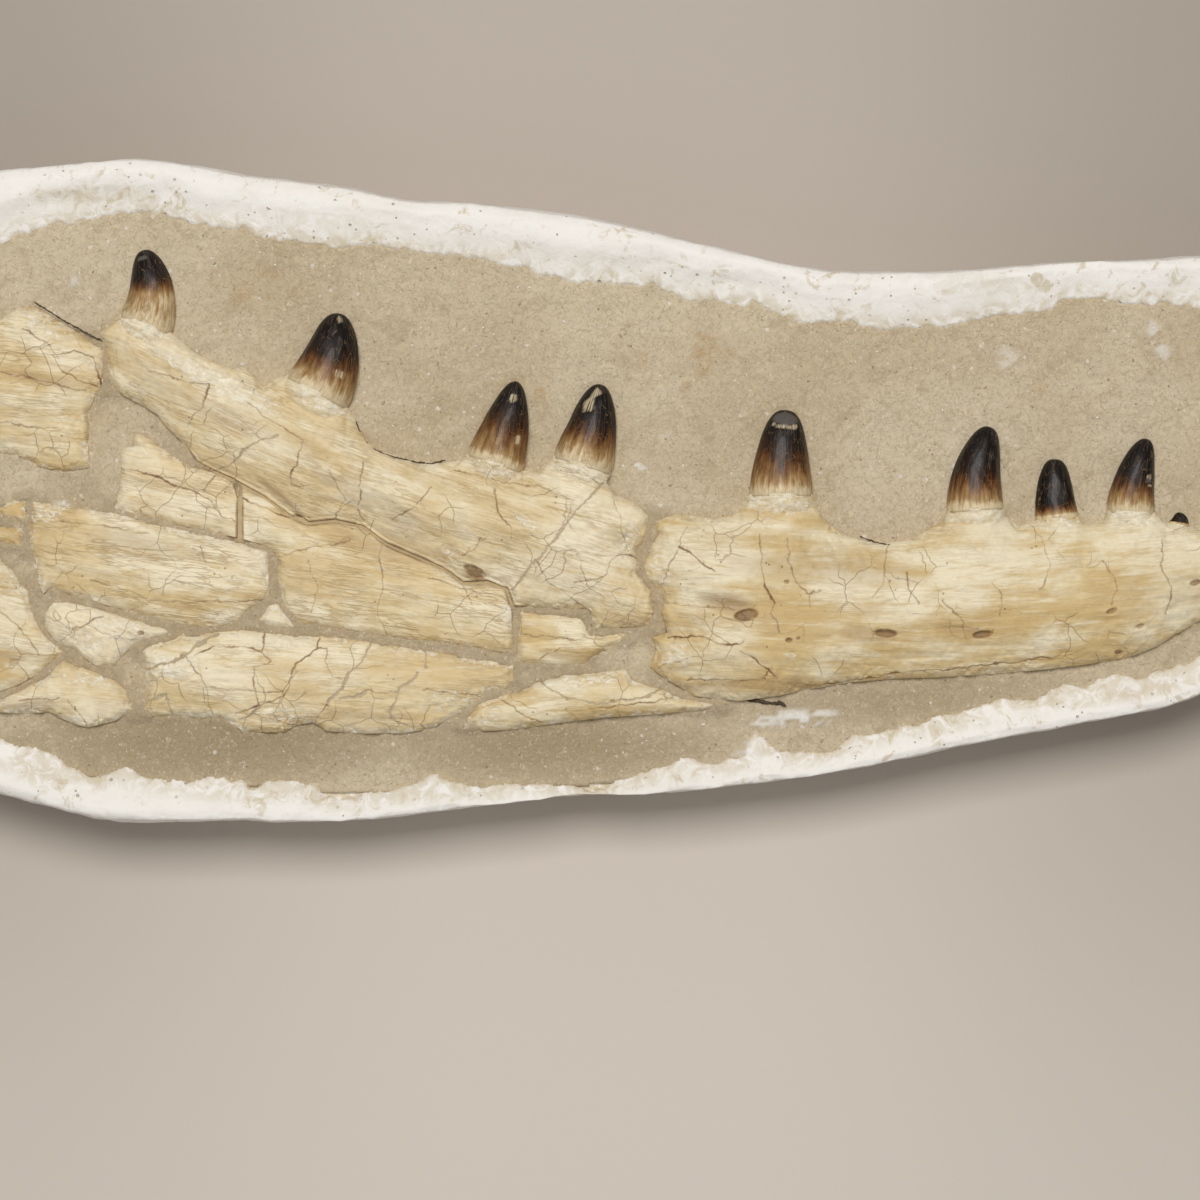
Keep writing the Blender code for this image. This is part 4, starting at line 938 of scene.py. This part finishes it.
def makeTooth(name, tooth, plan):
    middle, _, outward, half = baseOf(tooth)
    tip = Vector(tooth["point"])
    start = middle + outward * 0.5
    bend = start + outward * (tip - start).length * 0.45
    bm = bmesh.new()
    bmesh.ops.create_cone(bm, cap_ends=True, cap_tris=True, segments=plan["sides"], radius1=1, radius2=1,
                          depth=1)
    upright = [edge for edge in bm.edges if abs(edge.verts[0].co.z - edge.verts[1].co.z) > 0.5]
    bmesh.ops.subdivide_edges(bm, edges=upright, cuts=plan["rings"], use_grid_fill=True)
    x, y, z = cornersOf(bm).T * mm
    turn = np.arctan2(y, x)
    onAxis = np.hypot(x, y) < 0.5
    share = 1 - (0.5 - z) ** 1.35        # closer rings towards the point
    length = (tip - start).length
    low = -plan["intoBone"] / length
    share = low + (1 - low) * share
    t = np.clip(share, 0, 1)
    centreX = start.x * (1 - t) ** 2 + bend.x * 2 * t * (1 - t) + tip.x * t**2
    centreY = start.y * (1 - t) ** 2 + bend.y * 2 * t * (1 - t) + tip.y * t**2
    back = np.minimum(share, 0) * length
    centreX, centreY = centreX + outward.x * back, centreY + outward.y * back
    runX = (bend.x - start.x) * (1 - t) + (tip.x - bend.x) * t
    runY = (bend.y - start.y) * (1 - t) + (tip.y - bend.y) * t
    size = np.hypot(runX, runY)
    runX, runY = runX / size, runY / size
    radius = half * np.maximum(1 - t**1.3, 0.0004) ** tooth["blunt"]
    number = int(name[-2:])
    keel = plan["keel"] * (np.exp(-(turn / 0.16) ** 2) + np.exp(-((np.abs(turn) - math.pi) / 0.16) ** 2))
    ridges = plan["ridges"] * smoothNoise(turn * 9 / math.pi * 2, share * 1.5, seed=40 + number)
    dents = 0.02 * roughNoise(np.cos(turn) * 1.2 + share * 3, np.sin(turn) * 1.2, seed=60 + number)
    shaped = radius * (1 + (keel - 0.02 + ridges + dents) * smoothStep(share, -0.05, 0.1))
    chip = np.zeros(len(x))
    degrees = np.degrees(turn)

    def awayFrom(where, high, wide, long):        # 1 on the rim of a spot on the crown
        return ((degrees - where) / wide) ** 2 + ((share - high) / long) ** 2

    for crownChip in crownChips.get(name, []):
        rim = awayFrom(*crownChip) + 0.5 * smoothNoise(degrees / 9, share * 14, seed=5)
        chip = np.maximum(chip, 1 - smoothStep(rim, 0.7, 1.1))
    ragged = 0.025 + 0.05 * roughNoise(np.cos(turn) * 2.6, np.sin(turn) * 2.6, seed=90 + number)
    if tooth["base"] > 0.05:        # the enamel ends in a ragged line over its cream base
        chip = np.maximum(chip, 0.9 * (1 - smoothStep(share - ragged, -0.01, 0.02)))
    shaped = np.where(onAxis, 0, shaped - 0.25 * chip)
    acrossX, acrossY = runY, -runX
    axis = matrixTop + 0.2 * half
    newX = centreX + acrossX * shaped * np.cos(turn)
    newY = centreY + acrossY * shaped * np.cos(turn)
    newZ = axis + 0.86 * shaped * np.sin(turn)
    shares = [low, 0.03, tooth["base"] + 0.04, (tooth["base"] + tooth["dark"]) / 2, tooth["dark"], 1.0]
    tone = np.interp(share, shares, [-0.02, 0.06, 0.22, 0.46, 0.70, 0.98])
    wavy = 0.05 * smoothNoise(np.cos(turn) * 2.2, np.sin(turn) * 2.2, share * 2, seed=50 + number)
    wrap = np.stack([half * np.cos(turn), half * np.sin(turn), share * length * 0.2 + number * 7.3], 1)
    worn = np.zeros(len(x))
    if name in crownWear:
        worn = 1 - smoothStep(awayFrom(*crownWear[name]), 0.6, 1.1)
    # painted highlight: grey sheen strongest on the side facing up, and only where the crown is dark
    paintedSheen = np.clip(np.exp(-((degrees - 80) / 45) ** 2), 0, 1) * smoothStep(tone, 0.5, 0.8)
    marks = dict(tone=tone + wavy * smoothStep(share, 0, 0.2), wrap=wrap, chip=chip, paintedSheen=paintedSheen, worn=worn)
    places = np.stack([newX, newY, newZ], 1)
    finishPiece(name + "_crown", bm, places, name, finishes["enamel"], marks)


for toothName, toothShape in teeth.items():
    makeTooth(toothName, toothShape, crownPlan)
print("teeth shaped")


# The sandy matrix: one slab under plaster and bones, a little higher where it meets bone
matrixPlan = dict(
    underPlaster=6.5,        # how far it runs on under the plaster
    underside=9.3,           # height of its flat underside
    mesh=1.25, fillet=1.7, betweenBones=3.1, roughness=0.32,
    shade=[(-150, -100, 95, 18, 0, 0.9), (-20, -102, 80, 15, 0, 0.8), (120, -84, 90, 10, 5, 0.5),
           (-232, -104, 24, 12, 0, 0.5), (-212, 0, 16, 8, 0, 0.25)],
    smear=[(79, -91.6, 16, 4.4, 2, 1.0), (66, -92.5, 7, 3, 0, 0.9), (88, -89.6, 9, 2, 0, 0.8),
           (224, 60, 3.5, 10, 25, 0.6), (164, 52, 5, 7, 30, 0.35), (16, 9.6, 3, 1.2, -20, 0.9),
           (-215, -6, 5, 2, 0, 0.4), (26, 22, 3, 2, 0, 0.35), (-212, 84, 4, 3, 0, 0.3),
           (60, -103, 9, 3, 20, 0.6)],
    rusty=[(32, 52, 26, 12, 20, 0.9), (-30, 40, 14, 8, 0, 0.5), (190, 40, 26, 10, 0, 0.35),
           (-140, 82, 22, 8, 0, 0.4)],
)
plasterEdge = [
    (-240, 99.5), (-232.5, 103), (-225, 105), (-217, 107.5), (-211.5, 106.5), (-208.5, 109),
    (-203, 109.5), (-197, 110.5), (-191, 111), (-184, 111), (-175.5, 111.5), (-173, 109.5),
    (-163.5, 107), (-156, 105.5), (-148, 104.5), (-142, 105), (-138.5, 102), (-129, 100.5),
    (-120, 99.5), (-103, 97.5), (-91.5, 98), (-79, 96), (-71, 94.5), (-59, 94), (-42.5, 91.5),
    (-38.5, 89.5), (-30, 89), (-24, 86.5), (-13, 84.5), (-3, 83), (10.5, 82), (21, 82.5), (28, 79),
    (39, 75.5), (64, 74.5), (77, 68.5), (85, 66), (99.5, 67.5), (111, 64.5), (122, 65), (137, 66),
    (150.5, 67.5), (158.5, 70), (177, 71), (183, 74.5), (189, 77), (195, 77), (203, 75.5),
    (215.5, 74.5), (235, 74.5), (240, 72.5), (254, 71), (265, 68), (276, 64), (284, 57), (292, 45.5),
    (298, 30), (301.5, 16), (300, -1), (294.5, -14), (287, -23), (277, -33.5), (265, -45), (252, -57),
    (240, -67), (231, -71), (223, -73), (219, -75.5), (208, -74.5), (199, -75.5), (195, -79),
    (185.5, -78), (180.5, -79), (178, -83), (173.5, -84), (166, -83.5), (154.5, -85.5), (145, -89),
    (135, -90.5), (130, -93.5), (121, -95), (109, -97.5), (100.5, -98.5), (97.5, -101),
    (91.5, -104.5), (84.5, -105), (77, -105), (68.5, -102.5), (67, -99), (62.5, -97.5), (58.5, -102),
    (58.5, -106.5), (49.5, -109), (41.5, -110), (33, -107.5), (23, -111.5), (10.5, -116), (-3, -121),
    (-12, -119.5), (-25, -117.5), (-38.5, -118), (-45.5, -119.5), (-53.5, -117.5), (-61, -116),
    (-68, -113), (-76, -119), (-89, -121), (-101.5, -123), (-111, -123), (-114, -118), (-120, -117),
    (-133, -117), (-140.5, -120), (-143.5, -116.5), (-148, -117.5), (-151, -115), (-156, -114.5),
    (-163.5, -117), (-180.5, -116), (-185.5, -114.5), (-190.5, -111), (-197, -113.5), (-203, -114.5),
    (-208, -112.5), (-213, -111), (-218, -107), (-225.5, -104.5), (-240, -100), (-252, -93.5),
    (-265, -86.5), (-278, -79), (-287, -66), (-296, -53), (-302.5, -34), (-304, -16), (-306.5, 2.5),
    (-303, 20), (-305, 36), (-300, 55), (-293.5, 67), (-283, 79), (-272, 87), (-260, 91),
    (-249.5, 97),
]
edgeLines = linesOf(plasterEdge, closed=True)
allBones = [line for outline in boneOutlines.values() for line in outline]


def edgeNoise(x, y):
    return 0.9 * roughNoise(x / 5, y / 5, seed=71) + 0.35 * smoothNoise(x / 1.3, y / 1.3, seed=72)


def edgeDistance(x, y):        # distance to the plaster's inner edge, negative on the matrix side
    off = distanceTo(x, y, edgeLines)
    return np.where(insideOf(x, y, edgeLines), -off, off) + edgeNoise(x, y)


def matrixHeight(x, y):
    wave = 0.6 * np.sin(x / 45 + 1) * np.cos(y / 31) + 0.4 * np.sin(x / 21 - y / 26)
    return matrixTop + wave + 0.35 * roughNoise(x / 13, y / 13, seed=73)


def makeMatrix(plan):
    edge = outlineOf("matrix_slab")
    corners = np.array(edge).reshape(-1, 2)
    low, high = corners.min(0) - plan["underPlaster"], corners.max(0) + plan["underPlaster"]
    wide, tall = high - low
    step = plan["mesh"] * coarser
    bm = bmesh.new()
    spot = Matrix.Translation((*(low + high) / 2 * mm, matrixTop * mm))
    bmesh.ops.create_grid(bm, x_segments=int(wide / step), y_segments=int(tall / step), size=0.5,
                          matrix=spot @ Matrix.Diagonal((wide * mm, tall * mm, 1, 1)))

    def facePlaces():
        bm.to_mesh(scratch)
        bm.faces.ensure_lookup_table()
        centres = rowsOf(scratch.polygons, "center").astype(float) / mm
        return centres[:, 0], centres[:, 1]

    x, y = facePlaces()
    outside = ~insideOf(x, y, edge) & (distanceTo(x, y, edge) > plan["underPlaster"])
    bmesh.ops.delete(bm, geom=[bm.faces[i] for i in np.flatnonzero(outside)], context="FACES")
    x, y = facePlaces()
    for outline in boneOutlines.values():        # one large face is enough deep under each bone
        hidden = insideOf(x, y, outline) & (distanceTo(x, y, outline) > 4)
        if hidden.any():
            bm.faces.ensure_lookup_table()
            bmesh.ops.dissolve_faces(bm, faces=[bm.faces[i] for i in np.flatnonzero(hidden)], use_verts=True)
            x, y = facePlaces()
    lower = bmesh.ops.extrude_face_region(bm, geom=list(bm.faces))["geom"]
    bmesh.ops.translate(bm, verts=[item for item in lower if isinstance(item, bmesh.types.BMVert)],
                        vec=(0, 0, (plan["underside"] - matrixTop) * mm))
    bmesh.ops.dissolve_faces(bm, faces=[item for item in lower if isinstance(item, bmesh.types.BMFace)],
                             use_verts=True)
    bmesh.ops.triangulate(bm, faces=[face for face in bm.faces if len(face.verts) > 4])
    bmesh.ops.recalc_face_normals(bm, faces=bm.faces)

    x, y, z = cornersOf(bm).T
    onTop = z > matrixTop - 0.01
    height = matrixHeight(x, y)
    rough = roughNoise(x / 2.6, y / 2.6, octaves=4, seed=74)
    height += plan["roughness"] * rough * 0.7 + 0.14 * smoothNoise(x / 1.2, y / 1.2, seed=75)
    nearest, second = np.full(len(x), 1e3), np.full(len(x), 1e3)
    inside = np.zeros(len(x), bool)
    for outline in boneOutlines.values():
        off = distanceTo(x, y, outline)
        second = np.minimum(second, np.maximum(nearest, off))
        nearest = np.minimum(nearest, off)
        inside |= insideOf(x, y, outline)
    lift = plan["fillet"] * np.exp(-nearest / 2.4) * (0.65 + 0.6 * smoothNoise(x / 7, y / 7, seed=76))
    gap = plan["betweenBones"] * (1 - smoothStep(nearest + second, 5, 14))
    buried = np.where(inside, nearest, 0)
    height += np.maximum(lift, gap * (0.92 + 0.2 * rough)) * (1 - smoothStep(buried, 0.8, 2.6))
    height -= 2.0 * smoothStep(buried, 1.2, 4.0)
    joints = distanceTo(x, y, [line for lines in seamLines.values() for line in lines])
    height = np.where(joints < 1.2, np.maximum(height, seamHeight - 1.2), height)
    at = edgeDistance(x, y)
    height += 0.4 * np.exp(-np.maximum(-at, 0) / 2.2) * smoothNoise(x / 6, y / 6, seed=77)
    height -= 2.0 * smoothStep(at, 0.6, 2.6)
    smear = nearSoft(x, y, plan["smear"]) ** 0.7 * smoothStep(roughNoise(x / 4, y / 2, seed=78), -0.35, 0.15)
    height += 0.5 * smear
    shade = np.maximum(nearSoft(x, y, plan["shade"]) ** 0.8, 0.55 * (1 - smoothStep(nearest + second, 4, 13)))
    marks = dict(shade=shade, smear=smear, rusty=nearSoft(x, y, plan["rusty"]) ** 0.7,
                 joint=1 - smoothStep(joints, 0.6, 1.5))
    places = np.stack([x, y, np.where(onTop, height, z)], 1)
    finishPiece("sandy_matrix", bm, places, "matrix_slab", finishes["matrix"], marks)


makeMatrix(matrixPlan)
print("matrix shaped")


# Loose grains and shell bits on the matrix
grainPlan = dict(count=380, smallest=0.2, largest=0.62, flat=0.64)


def scatterGrains(plan):
    rng = np.random.default_rng(5)
    x, y = rng.uniform(-300, 300, 9000), rng.uniform(-125, 112, 9000)
    clear = insideOf(x, y, edgeLines) & (distanceTo(x, y, edgeLines) > 2) & (distanceTo(x, y, allBones) > 1.5)
    for outline in boneOutlines.values():
        clear &= ~insideOf(x, y, outline)
    for tooth in teeth.values():
        clear &= np.hypot(x - tooth["point"][0], y - tooth["point"][1] + 10) > 24
    x, y = x[clear][:plan["count"]], y[clear][:plan["count"]]
    bm = bmesh.new()
    tones = []
    heights = matrixHeight(x, y)
    for px, py, height in zip(x, y, heights):
        size = plan["smallest"] + (plan["largest"] - plan["smallest"]) * rng.random() ** 2.5
        stretch = 1 + rng.random() * 1.2
        spot = Matrix.Translation((px * mm, py * mm, (height + 0.1 * size) * mm))
        turn = Matrix.Rotation(rng.random() * math.tau, 4, "Z")
        shape = turn @ Matrix.Diagonal((stretch, 1, plan["flat"], 1))
        made = bmesh.ops.create_icosphere(bm, subdivisions=1, radius=size * mm, matrix=spot @ shape)
        tones += [rng.random()] * len(made["verts"])
    finishPiece("loose_grains", bm, cornersOf(bm), None, finishes["grain"], dict(tone=tones))


scatterGrains(grainPlan)


# Dark crumbs: a burnt-looking splinter under the front bone, and thin dark threads along upper bone edges;
# the thread between the second and third teeth is painted shade of the narrow gap at the bone's edge
crumbPlan = dict(
    splinter=[(59.6, -83.9), (63, -84.6), (66.5, -85.6), (70.5, -85.4), (74, -86.2)],
    threads=[[(-226, 75), (-221.5, 72.2), (-217, 69.3), (-212.5, 66.6), (-208, 64.2), (-203, 61.4),
              (-199, 59.8)],
             # painted shade: a dark thread standing in for the shade in the gap along the dentary's upper
             # edge
             [(-97.5, 27.4), (-95.4, 21.5), (-92, 17.3), (-87, 14.6), (-81, 12.9), (-74, 11.2),
              (-68, 10.4), (-62, 11.8)],
             [(104, -18.6), (109, -20.6), (115, -22), (122, -22.2), (127, -20.6)]],
    splinterSize=1.0, threadSize=0.4,
    threadHeight=47.6,        # no thread lies lower than this, so those on a bone's edge stay on it
)


def makeCrumbs(plan):
    rng = np.random.default_rng(8)
    bm = bmesh.new()
    jobs = [(plan["splinter"], plan["splinterSize"], 0.0)]
    jobs += [(line, plan["threadSize"], plan["threadHeight"]) for line in plan["threads"]]
    for line, size, lowest in jobs:
        for (ax, ay), (bx, by) in zip(line, line[1:]):
            count = max(2, int(math.hypot(bx - ax, by - ay) / (size * 1.7)))
            for step in range(count):
                share = (step + rng.random() * 0.6) / count
                px, py = ax + (bx - ax) * share, ay + (by - ay) * share + rng.normal() * size * 0.25
                ground = float(matrixHeight(np.array([px]), np.array([py]))[0])
                height = max(ground + 0.8, lowest)
                thick = size * (0.55 + 0.6 * rng.random())
                spot = Matrix.Translation((px * mm, py * mm, height * mm))
                turn = Matrix.Rotation(math.atan2(by - ay, bx - ax) + rng.normal() * 0.15, 4, "Z")
                shape = Matrix.Diagonal((thick * 2.6 * mm, thick * 0.9 * mm, thick * mm, 1))
                bmesh.ops.create_icosphere(bm, subdivisions=1, radius=1, matrix=spot @ turn @ shape)
    finishPiece("dark_crumbs", bm, cornersOf(bm), None, finishes["crumb"], {})


makeCrumbs(crumbPlan)


# The plaster jacket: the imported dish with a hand-formed rim and a torn inner edge
jacketPlan = dict(
    shelf=7.0,        # how far it runs in under the matrix
    tornEdge=0.7, slope=0.34, blendFrom=6.0, blendTo=19.0, bumps=0.6,
    shoulder=(30, 49.5),                                    # heights of the outer rounding
    torn=1.35, rim=2.3, side=4.6, underside=14.0,           # longest mesh edges
    dirt=[(-205, 118, 30, 6, 3, 0.7), (-120, 108, 40, 5, -5, 0.4), (150, 82, 34, 6, -2, 0.45),
          (0, 90, 30, 4, -8, 0.4), (70, -103, 20, 5, 3, 0.8), (-100, -121, 90, 6, 0, 0.8),
          (120, -96, 50, 5, 6, 0.75), (-225, -112, 22, 8, -20, 0.8), (215, -80, 40, 5, 10, 0.8)],
)


def makeJacket(plan):
    bm = copyOfNode("plaster_jacket")
    bm.normal_update()
    x, y, z = cornersOf(bm).T
    atSlab = (distanceTo(x, y, outlineOf("matrix_slab")) < 0.6) & (z > 8)
    bm.verts.ensure_lookup_table()
    for i in np.flatnonzero(atSlab):
        bm.verts[i].co.xy += bm.verts[i].normal.xy.normalized() * plan["shelf"] * mm
    corners = cornersOf(bm)[:, :2]
    fineness = lookUp((corners.min(0), corners.max(0)), 1.2,
                      lambda x, y: np.where(np.abs(edgeDistance(x, y)) < 3, plan["torn"], plan["rim"]))

    def spacing(x, y, z):
        return np.where(z > 41, fineness(x, y), np.where(z < 10, plan["underside"], plan["side"]))

    refine(bm, spacing, 11)
    bm.normal_update()
    x, y, z = cornersOf(bm).T
    normals = rowsOf(scratch.vertex_normals, "vector")
    at = edgeDistance(x, y)
    bumps = 0.75 * roughNoise(x / 19, y / 19, z / 19, octaves=3, seed=81)
    bumps = bumps + 0.3 * roughNoise(x / 4.5, y / 4.5, z / 4.5, octaves=3, seed=82)
    strokes = 0.3 * roughNoise((x + 0.2 * y) / 16, (y - 0.15 * x) / 2.6, z / 9, seed=83)
    push = (plan["bumps"] * (bumps + strokes) - 0.35) * smoothStep(z, 6, 30)
    newX, newY, newZ = x + normals[:, 0] * push, y + normals[:, 1] * push, z + normals[:, 2] * push
    level = matrixHeight(x, y)
    film = level + plan["tornEdge"] + plan["slope"] * np.maximum(at - 0.8 * edgeNoise(x, y), 0)
    film += 0.3 * bumps * smoothStep(at, 1, 6)
    film = np.where(at < 0, level - 0.3 - 1.4 * smoothStep(-at, 0.0, 0.8), film)
    share = 1 - smoothStep(at, plan["blendFrom"], plan["blendTo"])
    foot, crest = plan["shoulder"]        # the outer shoulder stays flat for longer, then drops
    fall = np.clip((newZ - foot) / (crest - foot), 0, 1)
    onShoulder = smoothStep(at, 10, 16) * (newZ > foot) * (newZ < crest)
    newZ += (foot + (crest - foot) * (1 - (1 - fall) ** 1.9) - newZ) * onShoulder
    onTop = (z > 40) & (at < plan["blendTo"])
    newZ = np.where(onTop, newZ * (1 - share) + film * share, newZ)
    newZ = np.where(z < 0.01, 0, newZ)
    dirt = np.maximum(nearSoft(x, y, plan["dirt"]), (1 - smoothStep(at, 0.5, 9)) * 0.75)
    dirt = np.maximum(dirt, (1 - smoothStep(at, 0.2, 1.6)) * 0.95)
    finishPiece("plaster_shell", bm, np.stack([newX, newY, newZ], 1), "plaster_jacket",
                finishes["plaster"], dict(dirt=dirt))


makeJacket(jacketPlan)
print("jacket shaped")


# Floor with painted shade, and light
studio = dict(
    floorLight=(0.68, 0.615, 0.545, 1), floorPaintedShade=(0.495, 0.435, 0.378, 1),
    floorCornerShade=(0.395, 0.345, 0.293, 1), skyColour=(1.0, 0.99, 0.975, 1), lampColour=(1.0, 0.985, 0.965),
    keyDistance=2.6, keySide=-8.0, keyHeight=71.0, keySize=0.95, keyPower=48.0, skyStrength=0.215,
    fillDistance=2.6, fillHeight=50.0, fillSize=1.6, fillPower=8.0,
)


def setStudio(plan):
    bm = bmesh.new()
    bmesh.ops.create_grid(bm, x_segments=8, y_segments=8, size=4.0)
    mesh = bpy.data.meshes.new("floor")
    bm.to_mesh(mesh)
    bm.free()
    floor = bpy.data.objects.new("floor", mesh)
    bpy.context.scene.collection.objects.link(floor)
    paper = Finish("floorFinish", plan, "floorLight", 0.9)
    sides = paper.add("SeparateXYZ", {0: paper.objectPlace()}).outputs
    across, along = Amount(paper, sides[0]), Amount(paper, sides[1])
    # painted shade: the floor is darker towards +Y, the top of the frame, and darker still towards the sides
    # at the far corners, in place of light falling off
    paper.cover(along.between(-0.30, 0.16), "floorPaintedShade")
    corner = across.math("ABSOLUTE").between(0.05, 0.27) * along.between(-0.35, 0.15, 0.15, 1.0)
    paper.cover(corner, "floorCornerShade")
    mesh.materials.append(paper.done())

    world = bpy.data.worlds.new("studio")
    world.use_nodes = True
    sky = world.node_tree.nodes["Background"]
    sky.inputs[0].default_value = plan["skyColour"]
    sky.inputs[1].default_value = plan["skyStrength"]
    bpy.context.scene.world = world

    for name, side, wide in (("key", plan["keySide"], 1.3), ("fill", 180.0, 1.8)):
        light = bpy.data.lights.new(name, "AREA")
        light.shape, light.size, light.size_y = "RECTANGLE", plan[name + "Size"] * wide, plan[name + "Size"]
        light.energy = plan[name + "Power"]
        light.color = plan["lampColour"]
        lamp = bpy.data.objects.new(name, light)
        height, turn = math.radians(plan[name + "Height"]), math.radians(side)
        level = math.cos(height)
        direction = Vector((math.sin(turn) * level, math.cos(turn) * level, math.sin(height)))
        lamp.location = direction * plan[name + "Distance"]
        lamp.rotation_mode = "QUATERNION"
        lamp.rotation_quaternion = direction.to_track_quat("Z", "Y")
        bpy.context.scene.collection.objects.link(lamp)


setStudio(studio)
print("studio set")

bpy.data.meshes.remove(scratch)
